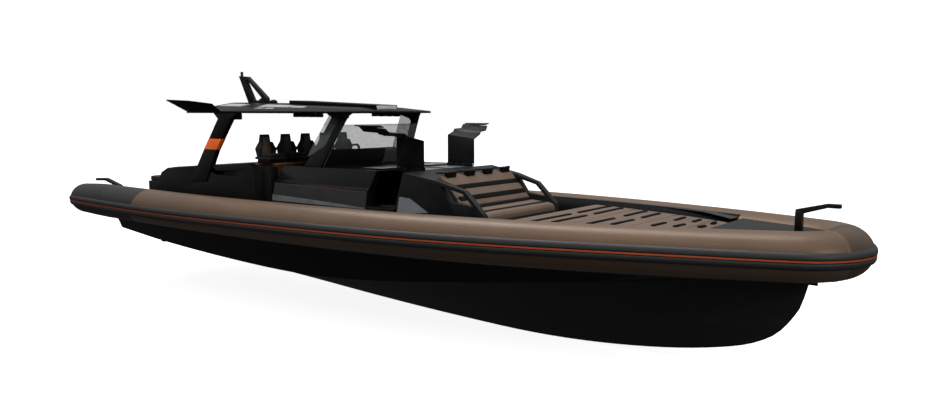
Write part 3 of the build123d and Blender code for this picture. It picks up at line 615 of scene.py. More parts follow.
def collar_radius(s):
    """The chambers' radius, s metres along."""
    s = min(s, 2 * PATH_END - s)
    if s >= CONE_START:
        return min(COLLAR_R, smooth_table(RADIUS, 1, s))
    if s >= NOSE_X:
        t = (s - NOSE_X) / (CONE_START - NOSE_X)
        return NOSE_R + (COLLAR_R - NOSE_R) * math.sin(t * math.pi / 2)
    t = min(1.0, (NOSE_X - s) / (NOSE_X - TIP_X))
    return NOSE_R * (1 - t ** 2.2) ** 0.5


# steps along the path round the bow, on the stern chambers' round tips and on the rest of them
BOW_STEP = 0.035
TIP_STEP = 0.02
CONE_STEP = 0.08


def path_stations(start, end, step=0.16):
    """Stations from start to end, closer together round the bow and the stern cones."""
    out, s = [start], start
    while s < end - 1e-6:
        near = min(s, 2 * PATH_END - s)
        if near > BOW_START - 0.1:
            s += BOW_STEP
        elif near < NOSE_X:
            s += TIP_STEP
        else:
            s += CONE_STEP if near < CONE_START + 0.1 else step
        s = min(s, end)
        out.append(s)
    return out


# ---------------------------------------------------------------- collar

SEAM_X = 2.381                      # the aft seam's station at the collar's centre
SEAM_LEAN = math.radians(26.4)      # and its slope forward from upright
NOSE_S = BOW_START + 0.55           # the nose seam's station along the path
AROUND = 72                         # points round the collar
TAPE_WIDTH = 0.05                   # the seams' tapes
TAPE_THICK = 0.003


def aft_seam(z):
    """The aft seam's station at a height on the collar."""
    return SEAM_X + z * math.tan(SEAM_LEAN)


def collar_ring(s_of, lift=0.0):
    """A ring round the collar, lifted off it; its station may change with the angle round it."""
    ring = []
    for k in range(AROUND):
        a = math.tau * k / AROUND
        s = s_of(a)
        r = collar_radius(s) + lift
        ring.append(off_path(s, r * math.cos(a), r * math.sin(a)))
    return ring


def main_chamber():
    """Port chamber from the aft seam to the nose seam."""
    rings = []
    stations = path_stations(SEAM_X, NOSE_S)
    for s in stations:
        t = (s - stations[0]) / (NOSE_S - stations[0])

        def warped(a):
            start = aft_seam(COLLAR_R * math.sin(a))
            return start + (NOSE_S - start) * t
        rings.append(collar_ring(warped))
    return skin(rings)


def stern_chamber():
    """Port stern chamber from its round tip to the aft seam."""
    rings = []
    stations = path_stations(TIP_X + 0.001, SEAM_X)
    for s in stations:
        blend = max(0.0, (s - CONE_START) / (SEAM_X - CONE_START))

        def warped(a):
            return s + (aft_seam(COLLAR_R * math.sin(a)) - SEAM_X) * blend
        rings.append(collar_ring(warped))
    return skin(rings)


def seam_band(s_of, width, proud):
    """A strip of tape round the collar, on a line of stations given by the angle round it."""
    rings = [collar_ring(lambda a, across=across: s_of(a) + across * width / 2, lift)
             for across, lift in ((-1, -0.001), (-0.8, proud), (0.8, proud), (1, -0.001))]
    return skin(rings, capped=False)


class RIB_OT_collar(bpy.types.Operator):
    """Air chambers, nose cap, stern cones and their seam tapes"""
    bl_idname = "rib.collar"
    bl_label = "Collar"

    def execute(self, context):
        new_piece("collar_chambers", *both_sides(main_chamber()), "collar", "collar_fabric",
                  hides=("collar",))
        # the nose is in the darker nose cloth, which paints its shade
        nose = [collar_ring(lambda a, s=s: s) for s in path_stations(NOSE_S, 2 * PATH_END - NOSE_S)]
        new_piece("nose_chamber", *skin(nose), "cap", "collar_fabric", hides=("nose_cap",))
        new_piece("stern_chambers", *both_sides(stern_chamber()), "cone", "cone_fabric",
                  hides=("stern_cones",))
        aft_tape = seam_band(lambda a: aft_seam(COLLAR_R * math.sin(a)) - 0.03, TAPE_WIDTH, TAPE_THICK)
        cone_tape = seam_band(lambda a: CONE_START, TAPE_WIDTH + 0.01, TAPE_THICK)
        nose_tape = seam_band(lambda a: NOSE_S, TAPE_WIDTH, TAPE_THICK - 0.0005)
        new_piece("stern_tapes", *joined([both_sides(aft_tape), both_sides(cone_tape)]), "cone",
                  "cone_fabric", welded=False)
        new_piece("nose_tapes", *both_sides(nose_tape), "collar", "collar_fabric", welded=False)
        return {"FINISHED"}


# ---------------------------------------------------------------- rubbing strake

# height and distance off the fabric, round the lower moulding, the groove, the accent line and the upper one
LOWER = [(-0.092, -0.006), (-0.090, 0.014), (-0.074, 0.034), (-0.050, 0.041), (-0.012, 0.040),
         (0.004, 0.034), (0.012, 0.026)]
GROOVE = [(0.012, 0.026), (0.024, 0.026)]
ACCENT = [(0.024, 0.026), (0.026, 0.034), (0.054, 0.034), (0.056, 0.026)]
UPPER = [(0.056, 0.026), (0.061, 0.038), (0.080, 0.043), (0.125, 0.041), (0.158, 0.026), (0.168, -0.006)]
STRAKE_S = -0.42
# how far the strake's moulding hangs below the collar's centreline, station by station
DROP = [(-0.60, 0.070), (0.20, 0.088), (1.40, 0.098), (3.40, 0.096), (5.00, 0.078), (6.40, 0.060),
        (8.20, 0.048), (10.50, 0.038), (13.00, 0.026), (14.50, 0.026), (15.40, 0.036), (16.60, 0.050)]


def strake_part(profile, depth=0.012):
    """A moulding swept round the boat, closed behind by its own inner face."""
    fit = bpy.context.scene.rib_collar.strake_proud / STRAKE_DEPTH
    rings = []
    for s in path_stations(STRAKE_S, 2 * PATH_END - STRAKE_S, 0.2):
        r = collar_radius(s)
        scale = min(1.0, 0.2 + r / COLLAR_R * 0.8)
        drop = smooth_table(DROP, 1, min(s, 2 * PATH_END - s))

        def off_fabric(z, proud):
            z = (z - drop) * scale
            return off_path(s, math.sqrt(max(r * r - z * z, 0)) + proud, z)
        rings.append([off_fabric(z, proud * fit * scale - 0.002) for z, proud in profile]
                     + [off_fabric(z, (min(proud, 0.0) - depth) * scale) for z, proud in reversed(profile)])
    return skin(rings)


class RIB_OT_strake(bpy.types.Operator):
    """Rubbing strake with its groove and accent line"""
    bl_idname = "rib.strake"
    bl_label = "Rubbing strake"

    def execute(self, context):
        new_piece("strake_mouldings", *joined([strake_part(LOWER), strake_part(UPPER)]), "strake",
                  "strake_rubber", hides=("rub_strake",), sharp=60, welded=False)
        new_piece("strake_groove", *strake_part(GROOVE), "groove", "strake_rubber", sharp=60)
        new_piece("strake_accent", *strake_part(ACCENT), "line", "orange_trim", hides=("rub_line",), sharp=60)
        return {"FINISHED"}


# ---------------------------------------------------------------- hull

# station, keel height, chine half breadth and height, sheer half breadth
HULL = [
    (0.750, -1.430, 1.959, -0.690, 2.179), (2.500, -1.520, 1.991, -0.850, 2.201),
    (5.000, -1.660, 2.003, -1.000, 2.213), (7.400, -1.820, 1.983, -1.060, 2.222),
    (9.500, -1.930, 1.882, -0.940, 2.172), (11.500, -1.985, 1.639, -0.740, 1.989),
    (13.300, -1.890, 1.260, -0.570, 1.600), (14.800, -1.660, 0.802, -0.430, 1.122),
    (15.600, -1.360, 0.460, -0.340, 0.760), (16.000, -0.880, 0.200, -0.300, 0.430),
    (16.140, -0.420, 0.060, -0.260, 0.200)]
DEEPEST = -1.985        # the keel's lowest
BELLY = 0.10            # the bottom's slight outward curve
STEM_PROUD = 0.018
CHINE_FLAT = 0.09       # breadth of the flat beside the chine
FLARE = 0.025           # the topside's hollow towards the bow
TOPSIDE = 0.03          # the topside's thickness


def hull_stations():
    """Stations from the transom to the stem, closer together forward."""
    steps = 46
    low, high = HULL[0][0], HULL[-1][0]
    return [low + (high - low) * math.sin(math.pi / 2 * i / steps) ** 0.9 for i in range(steps + 1)]


def hull_row(x):
    """Keel's height, chine's half breadth and height, and sheer's half breadth, at a station."""
    keel, chine_y, chine_z, rail_y = (smooth_table(HULL, c, x) for c in (1, 2, 3, 4))
    return max(keel, DEEPEST), chine_y, chine_z, rail_y


def bottom_part():
    """The V bottom from keel to chine with a flat at the chine, closed by a lid inside."""
    rings = []
    for x in hull_stations():
        keel, yc, zc, _ = hull_row(x)
        flat = min(CHINE_FLAT, yc * 0.2)
        half = [(0.0, keel), (yc * 0.02, keel + 0.004)]
        for k in range(1, 9):
            t = k / 8
            curve = t + BELLY * t * (1 - t)
            half.append(((yc - flat) * t, keel + (zc - 0.01 - keel) * curve))
        half.append((yc, zc))
        port = [place(x, y, z) for y, z in half]
        star = [place(x, -y, z) for y, z in reversed(half[1:])]
        rings.append(port + star)
    rings.append([place(HULL[-1][0] + STEM_PROUD, 0, WATERLINE_Z + p.z) for p in rings[-1]])
    return skin(rings)


def topside_part():
    """The port topside from chine to sheer, with its inner face."""
    rings = []
    for x in hull_stations():
        _, yc, zc, ys = hull_row(x)
        hollow = FLARE * min(1.0, max(0.0, (x - 9) / 5))
        outer = [(yc + (ys - yc) * k / 8 - hollow * math.sin(math.pi * k / 8), zc + (SOLE_Z - zc) * k / 8)
                 for k in range(9)]
        inner = [(max(y - TOPSIDE, y * 0.4), z) for y, z in reversed(outer)]
        rings.append([place(x, y, z) for y, z in outer + inner])
    return skin(rings)


class RIB_OT_hull(bpy.types.Operator):
    """Topsides, bottom and the chine between them"""
    bl_idname = "rib.hull"
    bl_label = "Hull"

    def execute(self, context):
        new_piece("bottom_shell", *bottom_part(), "bottom", "hull_bottom", hides=("hull_bottom",), sharp=25)
        new_piece("topside_shells", *both_sides(topside_part()), "topsides", "hull_gloss",
                  hides=("hull_sides",), sharp=35)
        return {"FINISHED"}


# ---------------------------------------------------------------- soft goods

CLOTH = {"quality": 4, "use_pressure": True, "tension_stiffness": 25, "compression_stiffness": 25,
         "bending_stiffness": 2}
PLUMP_FRAMES = 20


def cushion(name, low_outline, height, finish="leather", hides=(), voxel=0.02):
    """A cushion cut to an outline, plumped by cloth pressure and then kept within its swell."""
    piece = new_piece(name, *plate(low_outline, height), finish, "upholstery", hides=hides)
    remesh = piece.modifiers.new("grid", "REMESH")
    remesh.mode = "VOXEL"
    remesh.voxel_size = voxel
    settle(piece)
    plump(piece)
    relax = piece.modifiers.new("relax", "SMOOTH")
    relax.iterations = 3
    relax.factor = 0.6
    finer = piece.modifiers.new("finer", "SUBSURF")
    finer.levels = 1
    settle(piece)
    piece.data.polygons.foreach_set("use_smooth", [True] * len(piece.data.polygons))
    return piece


def plump(piece):
    """Blows a cushion up by cloth pressure, no point further than the swell."""
    soft = bpy.context.scene.rib_soft
    start = [v.co.copy() for v in piece.data.vertices]
    cloth = piece.modifiers.new("cloth", "CLOTH")
    for key, value in CLOTH.items():
        setattr(cloth.settings, key, value)
    cloth.settings.uniform_pressure_force = soft.pressure
    cloth.settings.effector_weights.gravity = 0
    for number in range(1, PLUMP_FRAMES + 1):
        bpy.context.scene.frame_set(number)
    settle(piece)
    moved = []
    for vertex, home in zip(piece.data.vertices, start):
        shift = vertex.co - home
        moved.extend(home + (shift if shift.length <= soft.swell else shift.normalized() * soft.swell))
    piece.data.vertices.foreach_set("co", moved)
    bpy.context.scene.frame_set(1)


def dented(piece, depth_at):
    """Presses a cushion's surface in along its normals by depth_at(point)."""
    moves = []
    for vertex in piece.data.vertices:
        moves.extend(vertex.co - vertex.normal * depth_at(vertex.co))
    piece.data.vertices.foreach_set("co", moves)
    piece.data.update()


def channel(distance, half_width, depth):
    """A soft groove's depth at a distance from its middle line."""
    t = abs(distance) / half_width
    return depth * (1 - t * t) ** 2 if t < 1 else 0.0


STITCHES = {"Gap": 0.012, "Size": 0.0016, "Seed": 3}
STITCH_LENGTH = 0.55            # a stitch's length as a share of the gap
STITCH_SPREAD = (0.85, 1.1)     # least and most size of one, as a share


def stitch_line(name, route, finish):
    """Small stitches laid along a route by Geometry Nodes."""
    mesh = bpy.data.meshes.new(name)
    mesh.from_pydata([tuple(p) for p in route], [(i, i + 1) for i in range(len(route) - 1)], [])
    piece = bpy.data.objects.new(name, mesh)
    bpy.context.scene.collection.objects.link(piece)
    modifier = piece.modifiers.new("stitches", "NODES")
    modifier.node_group = stitch_group()
    for item in modifier.node_group.interface.items_tree:
        if item.in_out == "INPUT" and item.name in STITCHES:
            modifier[item.identifier] = STITCHES[item.name]
        elif item.name == "Thread":
            modifier[item.identifier] = FINISH[finish]
    settle(piece)
    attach(piece, "hull")


def stitch_group():
    """Short bars set along a line, each a little different, as a Geometry Nodes group."""
    if "Stitches" in bpy.data.node_groups:
        return bpy.data.node_groups["Stitches"]
    group = bpy.data.node_groups.new("Stitches", "GeometryNodeTree")
    for name, way, kind in (("Geometry", "INPUT", "Geometry"), ("Gap", "INPUT", "Float"),
                            ("Size", "INPUT", "Float"), ("Seed", "INPUT", "Int"),
                            ("Thread", "INPUT", "Material"), ("Geometry", "OUTPUT", "Geometry")):
        group.interface.new_socket(name, in_out=way, socket_type="NodeSocket" + kind)
    made = {key: group.nodes.new(kind) for key, kind in (
        ("in", "NodeGroupInput"), ("out", "NodeGroupOutput"), ("curve", "GeometryNodeMeshToCurve"),
        ("spaced", "GeometryNodeCurveToPoints"), ("thread", "GeometryNodeMeshCylinder"),
        ("long", "ShaderNodeMath"), ("wobble", "FunctionNodeRandomValue"),
        ("set", "GeometryNodeInstanceOnPoints"), ("real", "GeometryNodeRealizeInstances"),
        ("paint", "GeometryNodeSetMaterial"))}
    made["spaced"].mode = "LENGTH"
    made["thread"].inputs["Vertices"].default_value = 5
    made["long"].operation = "MULTIPLY"
    made["long"].inputs[1].default_value = STITCH_LENGTH
    made["wobble"].data_type = "FLOAT"
    made["wobble"].inputs[2].default_value, made["wobble"].inputs[3].default_value = STITCH_SPREAD
    for source, out, target, into in (
            ("in", "Geometry", "curve", "Mesh"), ("curve", "Curve", "spaced", "Curve"),
            ("in", "Gap", "spaced", "Length"), ("in", "Gap", "long", 0), ("in", "Size", "thread", "Radius"),
            ("long", 0, "thread", "Depth"), ("in", "Seed", "wobble", "Seed"),
            ("spaced", "Points", "set", "Points"), ("thread", "Mesh", "set", "Instance"),
            ("spaced", "Rotation", "set", "Rotation"), ("wobble", 1, "set", "Scale"),
            ("set", "Instances", "real", "Geometry"),
            ("real", "Geometry", "paint", "Geometry"), ("in", "Thread", "paint", "Material"),
            ("paint", "Geometry", "out", "Geometry")):
        group.links.new(made[source].outputs[out], made[target].inputs[into])
    return group


# ---------------------------------------------------------------- decks and bow

# the bow flange's inner edge: station and distance in from the collar's centreline
FLANGE = [(9.35, 0.225), (11.5, 0.225), (13.20, 0.232), (13.95, 0.300), (14.50, 0.400), (14.74, 0.460)]
FLANGE_OUTER = 0.180            # its outer edge
# the bow lining is painted shade: a near-black sheet over the upper part of the collar's inner side
SHADE_LINING_ARC = (122, 175)         # the lining's reach round the collar, in degrees from straight out


def rounded_nodes(*rows):
    """CAD nodes with their finish, slot and edge width; the slot is not used."""
    for row in rows:
        rounded_node(*row)


def strip_part(x0, x1, y0, y1, z, thick, lean=0.0):
    """A thin slat across the boat; lean moves its outer end forward."""
    ring = [place(x0, y0, z), place(x1, y0, z), place(x1 + lean, y1, z), place(x0 + lean, y1, z)]
    return plate(ring, Vector((0, 0, thick)))


class RIB_OT_decks(bpy.types.Operator):
    """Decks, foredeck and bow fittings"""
    bl_idname = "rib.decks"
    bl_label = "Decks and bow"

    def execute(self, context):
        rounded_nodes(("side_decks", "deck", "deck_grey", 0.006), ("stern_deck", "deck", "deck_grey", 0.012),
                      ("bow_deck", "shell", "black_shell", 0.018), ("bow_post", "trim", "black_shell", 0.014),
                      ("bow_eye", "trim", "steel", 0.004))
        self.shade_lining_and_flange()
        return {"FINISHED"}

    def shade_lining_and_flange(self):
        """A thin black lining on the collar's inner side, whose near-black finish paints shade there, and the
        flange that caps it.
        """
        low, high = SHADE_LINING_ARC
        angles = [math.radians(low + (high - low) * k / 8) for k in range(9)]
        lining, flange = [], []
        for s in path_stations(FLANGE[0][0], FLANGE[-1][0], 0.1):
            r = collar_radius(s)

            def arc(radius, turns):
                return [off_path(s, radius * math.cos(a), radius * math.sin(a)) for a in turns]
            lining.append(arc(r + 0.003, angles) + arc(r - 0.004, angles[::-1]))
            inner, up = smooth_table(FLANGE, 1, s), r - 0.048 - 0.040 * max(0.0, (s - 14.1) / 0.64)
            flange.append([off_path(s, -FLANGE_OUTER, up), off_path(s, -inner, up - 0.012),
                           off_path(s, -inner, up - 0.022), off_path(s, -FLANGE_OUTER - 0.004, up - 0.012)])
        new_piece("bow_lining_painted_shade", *both_sides(skin(lining)), "lining", "black_shell", sharp=30)
        new_piece("bow_flanges", *both_sides(skin(flange)), "deck_edge", "black_shell", sharp=30)


# ---------------------------------------------------------------- bow sunpad

# the sunpad's edge: station and distance in from the collar's centreline
PAD = [(11.600, 0.455), (12.300, 0.465), (13.300, 0.520), (14.450, 0.650), (14.720, 0.720)]
PAD_LOW = 0.200
PAD_TOP = 0.300
PAD_SEAMS = (12.68, 13.60, 14.40)
# black bars in it: station, inner and outer end
PAD_BARS = [(12.10, 0.14, 1.40), (12.42, 0.15, 1.25), (12.98, 0.20, 1.09), (13.32, 0.17, 0.90),
            (13.90, 0.19, 0.64), (14.22, 0.18, 0.53), (14.55, 0.15, 0.35)]
BAR_HALF = 0.032
BAR_THICK = 0.030
BAR_LEAN = -0.02


def pad_edge(x):
    """Half the sunpad's breadth at a station."""
    return side_breadth(x) - smooth_table(PAD, 1, x)


class RIB_OT_sunpad(bpy.types.Operator):
    """Bow sunpad with its seams and black bars"""
    bl_idname = "rib.sunpad"
    bl_label = "Bow sunpad"

    def execute(self, context):
        stations = [PAD[0][0] + (PAD[-1][0] - PAD[0][0]) * i / 24 for i in range(25)]
        half = [place(x, pad_edge(x) - 0.006, PAD_LOW) for x in stations]
        outline = half + [Vector((p.x, -p.y, p.z)) for p in reversed(half)]
        pad = cushion("bow_sunpad_cushion", outline, Vector((0, 0, PAD_TOP - PAD_LOW - 0.018)), voxel=0.024,
                      hides=("bow_sunpad",))
        dented(pad, lambda p: max(channel(p.x + ORIGIN_X - s, 0.035, 0.022) for s in PAD_SEAMS))
        parts = [strip_part(x - BAR_HALF, x + BAR_HALF, y0, min(y1, pad_edge(x) - 0.05), PAD_TOP - 0.012,
                            BAR_THICK, BAR_LEAN) for x, y0, y1 in PAD_BARS]
        bars = new_piece("bow_sunpad_bars", *both_sides(joined(parts)), "lining", "upholstery", welded=False)
        bevelled(bars, 0.007)
        for i, s in enumerate(PAD_SEAMS):
            reach = pad_edge(s) - 0.06
            for row, side in (("a", -1), ("b", 1)):
                route = [place(s + side * 0.032, reach * (k / 15 - 1), PAD_TOP - 0.008) for k in range(31)]
                stitch_line(f"bow_sunpad_stitches_{i}_{row}", route, "bolster")
        return {"FINISHED"}


# ---------------------------------------------------------------- bow lounge

BACK_TOP = Vector((9.860, 0, 0.900))
BACK_FOOT = Vector((10.380, 0, 0.330))
BACK_OUT = Vector((0.075, 0, 0.060))
BACK_SLOPE = (BACK_TOP - BACK_FOOT).normalized()
BACK_FACE = Vector((BACK_SLOPE.z, 0, -BACK_SLOPE.x))
LOUNGE_Y = 1.115
# black stripes across the backrest: height and half length
BACK_STRIPES = [(0.715, 1.05), (0.525, 1.04), (0.350, 1.02)]
STRIPE_HALF = 0.052
# the seat's side view, from the back's foot forward and round its lip
SEAT_SIDE = [(10.475, 0.235), (10.475, 0.352), (10.930, 0.328), (11.005, 0.300), (11.040, 0.255),
             (11.046, 0.200), (11.046, 0.150), (11.020, 0.150), (11.012, 0.235)]
SEAT_SEAM = 10.87
HEAD_PITCH = 0.580
# a headrest's pad seen from forward, and half of its plate seen from above
HEAD_PAD = [(-0.160, 0.966), (0.160, 0.966), (0.120, 0.868), (0.055, 0.798), (-0.055, 0.798), (-0.120, 0.868)]
HEAD_PLATE = [(10.024, 0.0), (10.024, 0.150), (9.890, 0.281), (9.861, 0.264), (9.945, 0.110), (9.945, 0.0)]
HEAD_TOP = 0.968


def on_back(z, out=0.0):
    """A point of the backrest's front face at a height."""
    top, foot = BACK_TOP + BACK_OUT, BACK_FOOT + BACK_OUT
    return foot.lerp(top, (z - foot.z) / (top.z - foot.z)) + BACK_FACE * out


class RIB_OT_lounge(bpy.types.Operator):
    """Backrest, seat and headrests of the bow lounge"""
    bl_idname = "rib.lounge"
    bl_label = "Bow lounge"

    def execute(self, context):
        across = Vector((0, 2 * LOUNGE_Y, 0))
        ring = [place(p.x, -LOUNGE_Y, p.z)
                for p in (BACK_TOP, BACK_FOOT, BACK_FOOT + BACK_OUT, BACK_TOP + BACK_OUT)]
        back = cushion("lounge_backrest", ring, across, hides=("lounge_cushions",))

        def back_seams(p):
            p = Vector((p.x + ORIGIN_X, 0, p.z + WATERLINE_Z))
            return max(channel((p - on_back(z)).dot(BACK_SLOPE), 0.045, 0.012) for z, _ in BACK_STRIPES)
        dented(back, back_seams)
        parts = []
        for z, half in BACK_STRIPES:
            a, b = (on_back(z, -0.004) + BACK_SLOPE * side for side in (-STRIPE_HALF, STRIPE_HALF))
            ring = [place(p.x, y, p.z) for p, y in ((a, -half), (b, -half), (b, half), (a, half))]
            parts.append(plate(ring, BACK_FACE * 0.024))
        bevelled(new_piece("lounge_backrest_stripes", *joined(parts), "lining", "upholstery",
                           welded=False), 0.006)

        seat = cushion("lounge_seat", [place(x, -LOUNGE_Y, z) for x, z in SEAT_SIDE], across)

        def seat_seam(p):
            on_top = p.z + WATERLINE_Z > 0.3
            return channel(p.x + ORIGIN_X - SEAT_SEAM, 0.045, 0.012) if on_top else 0.0
        dented(seat, seat_seam)
        bar = strip_part(10.81, 10.92, -1.03, 1.03, 0.326, 0.026)
        bevelled(new_piece("lounge_seat_stripe", *bar, "lining", "upholstery"), 0.006)
        edge = box_part(place(11.040, -LOUNGE_Y, 0.118), place(11.052, LOUNGE_Y, 0.142))
        bevelled(new_piece("lounge_seat_edge", *edge, "brown", "orange_trim"), 0.004)
        self.headrests()
        return {"FINISHED"}

    def headrests(self):
        """Four pads hung under winged plates on the backrest's top."""
        pads, plates = [], []
        for i in range(4):
            middle = HEAD_PITCH * (i - 1.5)
            pads.append(plate([place(9.962, middle + y, z) for y, z in HEAD_PAD], Vector((0.056, 0, 0))))
            ring = [place(x, middle + y, HEAD_TOP) for x, y in HEAD_PLATE]
            ring += [place(x, middle - y, HEAD_TOP) for x, y in HEAD_PLATE[-2:0:-1]]
            plates.append(plate(ring, Vector((0, 0, 0.032))))
        bevelled(new_piece("headrest_pads", *joined(pads), "lining", "upholstery", welded=False,
                           hides=("lounge_headrests",)), 0.016, 3)
        bevelled(new_piece("headrest_plates", *joined(plates), "trim", "black_shell", welded=False), 0.005)


# ---------------------------------------------------------------- console, coachroof

# on the console's sides: the foot strip's stations and tops; the lower panel's stations at foot and top, and
# its height; and the brown seam's stations and heights
FOOT_STRIP = [(5.700, 0.372), (6.5, 0.348), (7.5, 0.312), (8.37, 0.272)]
LOWER_PANEL = [(5.690, 5.778, 0.600), (6.6, 6.65, 0.590), (7.5, 7.53, 0.578), (8.375, 8.418, 0.566)]
SEAM_STRIP = [(5.780, 0.603), (6.65, 0.593), (7.53, 0.581), (8.42, 0.569)]
FOOT_IN = 0.1905                # how far inside the console's widest the foot strip and the lower panel start
# a windscreen pillar's head, from the pillar to the roof's underside: height, stations, half breadths
PILLAR_HEAD = [(2.004, 7.066, 7.594, 1.056, 1.096), (2.054, 7.010, 7.612, 1.040, 1.108)]
# side lights low on the coachroof, in two flat panes: station and height
LIGHT_BEND = 9.320
SIDE_LIGHTS = [[(9.208, 0.532), (LIGHT_BEND, 0.524), (LIGHT_BEND, 0.225), (9.139, 0.208)],
               [(LIGHT_BEND, 0.524), (9.452, 0.514), (9.842, 0.275), (LIGHT_BEND, 0.225)]]
LIGHT_Y, LIGHT_SLANT = 1.404, 0.117
# hatches on its top, painted pale as a reflection: stations, half breadths and height
HATCHES = [(8.02, 8.50, 0.30, 1.10, ROOF_TOP + 0.020), (8.70, 9.20, 0.12, 0.62, ROOF_TOP)]
# the instruments' hood under the windscreen
HOOD = [(7.120, -1.285, 1.005), (7.281, -1.240, 1.340), (7.265, 0.351, 1.310), (7.174, 0.389, 1.129),
        (7.120, 0.395, 1.005)]


class RIB_OT_superstructure(bpy.types.Operator):
    """Console, coachroof, steps, pillars and glazing"""
    bl_idname = "rib.superstructure"
    bl_label = "Superstructure"

    def execute(self, context):
        rounded_nodes(("console", "console", "black_shell", 0.016),
                      ("coachroof", "shell", "black_shell", 0.02),
                      ("entry_steps", "trim", "deck_grey", 0.006),
                      ("windscreen_pillars", "trim", "black_shell", 0.008))
        heads = [[place(x, y, z) for x, y in ((x0, y0), (x1, y0), (x1, y1), (x0, y1))]
                 for z, x0, x1, y0, y1 in PILLAR_HEAD]
        new_piece("pillar_heads", *both_sides(skin(heads)), "trim", "black_shell", sharp=30)
        rounded_nodes(("aft_pillars", "trim", "black_shell", 0.01),
                      ("pillar_bands", "accent", "orange_trim", 0.01))
        rounded_node("glazing", "glass", "glass", 0.002, segments=1)
        self.panes()
        self.strips()
        return {"FINISHED"}

    def strips(self):
        """A pale strip at the console's foot, grey panels above it and the seam over them."""
        def side(x, inset, z):
            return place(x, CONSOLE_Y - inset, z)
        pale = skin([[side(x, FOOT_IN - 0.007, 0.246), side(x, 0.188, top), side(x, 0.199, top),
                      side(x, FOOT_IN + 0.004, 0.246)] for x, top in FOOT_STRIP])
        grey = skin([[side(low, FOOT_IN - 0.003, 0.250), side(high, 0.1965, top), side(high, 0.2035, top),
                      side(low, FOOT_IN + 0.004, 0.250)] for low, high, top in LOWER_PANEL])
        brown = skin([[side(x, 0.195, z), side(x, 0.1955, z + 0.012), side(x, 0.212, z + 0.012),
                       side(x, 0.212, z)] for x, z in SEAM_STRIP])
        for name, part, finish, slot in (("console_foot_strips", pale, "pale", "black_shell"),
                                         ("console_lower_panels", grey, "panel_grey", "black_shell"),
                                         ("console_seam_strips", brown, "brown", "orange_trim")):
            new_piece(name, *both_sides(part), finish, slot, welded=False)

    def panes(self):
        """Side lights low on the coachroof, hatches on its top and the hood under the windscreen; the lights
        and hatches are painted pale as a reflection.
        """
        lights = []
        for part in SIDE_LIGHTS:
            ring = [place(x, LIGHT_Y - LIGHT_SLANT * max(0.0, x - LIGHT_BEND), z) for x, z in part]
            lights.append(plate(ring, Vector((0, -0.008, 0))))
        new_piece("coachroof_lights", *both_sides(joined(lights)), "skylight", "glass", welded=False)
        hatches = [box_part(place(x0, y0, z), place(x1, y1, z + 0.006)) for x0, x1, y0, y1, z in HATCHES]
        bevelled(new_piece("coachroof_hatches", *both_sides(joined(hatches)), "skylight", "glass",
                           welded=False), 0.002)
        hood = plate([place(*p) for p in HOOD], Vector((-0.008, 0, 0.004)))
        bevelled(new_piece("instrument_hood", *hood, "trim", "black_shell"), 0.003)
        edge = box_part(place(8.52, 1.138, 0.290), place(8.98, 1.150, 0.305))
        new_piece("entry_edges", *both_sides(edge), "brown", "orange_trim")


# ---------------------------------------------------------------- doors

HINGE_Y = 0.790
HINGE_Z = 1.000
# a door's lower leaf when the door is closed: distance across and height, round its section
LEAF = [(1.603, 0.212), (1.632, 0.128), (1.632, 0.066), (1.610, 0.066), (1.610, 0.122), (1.585, 0.205)]
LEAF_X = (8.400, 8.985)
LEAF_RAKE = 0.17
HANDLE = [(8.72, 1.465, 0.50), (8.72, 1.435, 0.50), (8.92, 1.435, 0.50), (8.92, 1.465, 0.50)]


def opened(x, y, z, side):
    """A place on the closed port door, taken to where it is when the door on a side stands open."""
    p = place(x, HINGE_Y - (z - HINGE_Z), HINGE_Z + (y - HINGE_Y))
    return p if side == "port" else Vector((p.x, -p.y, p.z))


class RIB_OT_doors(bpy.types.Operator):
    """Gull-wing doors with their lower leaves and handles"""
    bl_idname = "rib.doors"
    bl_label = "Gull-wing doors"

    def execute(self, context):
        for side in ("port", "starboard"):
            body = "gullwing_" + side
            rounded_node(body, "trim", "black_shell", 0.004, body, segments=1)
            leaf = skin([[opened(x + LEAF_RAKE * (z - 0.06), y, z, side) for y, z in LEAF] for x in LEAF_X])
            new_piece(body + "_leaf", *leaf, "trim", "black_shell", body, sharp=20)
            handle = tube_part(softened([opened(*p, side) for p in HANDLE], 0.02), 0.009)
            new_piece(body + "_handle", *handle, "steel", "steel", body)
        rounded_node("door_hinges", "trim", "steel", 0.001, segments=1)
        lip = box_part(place(8.62, 0.742, 0.975), place(9.285, 0.754, 1.038))
        bevelled(new_piece("door_rain_lips", *both_sides(lip), "trim", "black_shell"), 0.003)
        return {"FINISHED"}


# ---------------------------------------------------------------- roof

# the sloping side of the crown: two quads of eave and crown corners
SIDE_AFT = [(5.00, 1.72, 2.095), (3.25, 1.76, 2.095), (3.70, 0.86, 2.282), (5.00, 0.90, 2.242)]
SIDE_FORE = [(7.30, 1.42, 2.095), (5.00, 1.72, 2.095), (5.00, 0.90, 2.242), (6.90, 0.82, 2.183)]
# pale panels on them, as fractions along and up each quad: three large ones high up, two small ones below
ROOF_PANELS = [(SIDE_AFT, 0.36, 0.84, 0.56, 0.84), (SIDE_FORE, 0.55, 0.97, 0.56, 0.88),
               (SIDE_FORE, 0.34, 0.52, 0.54, 0.80), (SIDE_FORE, 0.81, 0.91, 0.30, 0.42),
               (SIDE_FORE, 0.68, 0.78, 0.30, 0.42)]
PANEL_SUNK = Vector((0, 0, 0.004))
PANEL_RISE = Vector((0, 0.003, 0.018))
HATCH_Y = 0.33
HATCH_SIDE = [(5.000, 2.236), (7.480, 2.150), (7.640, 2.118), (7.622, 2.221), (5.000, 2.329)]
HATCH_FRONT = [(7.634, -0.30, 2.128), (7.634, 0.30, 2.128), (7.621, 0.30, 2.208), (7.621, -0.30, 2.208)]
ROOF_UNDER = 2.051
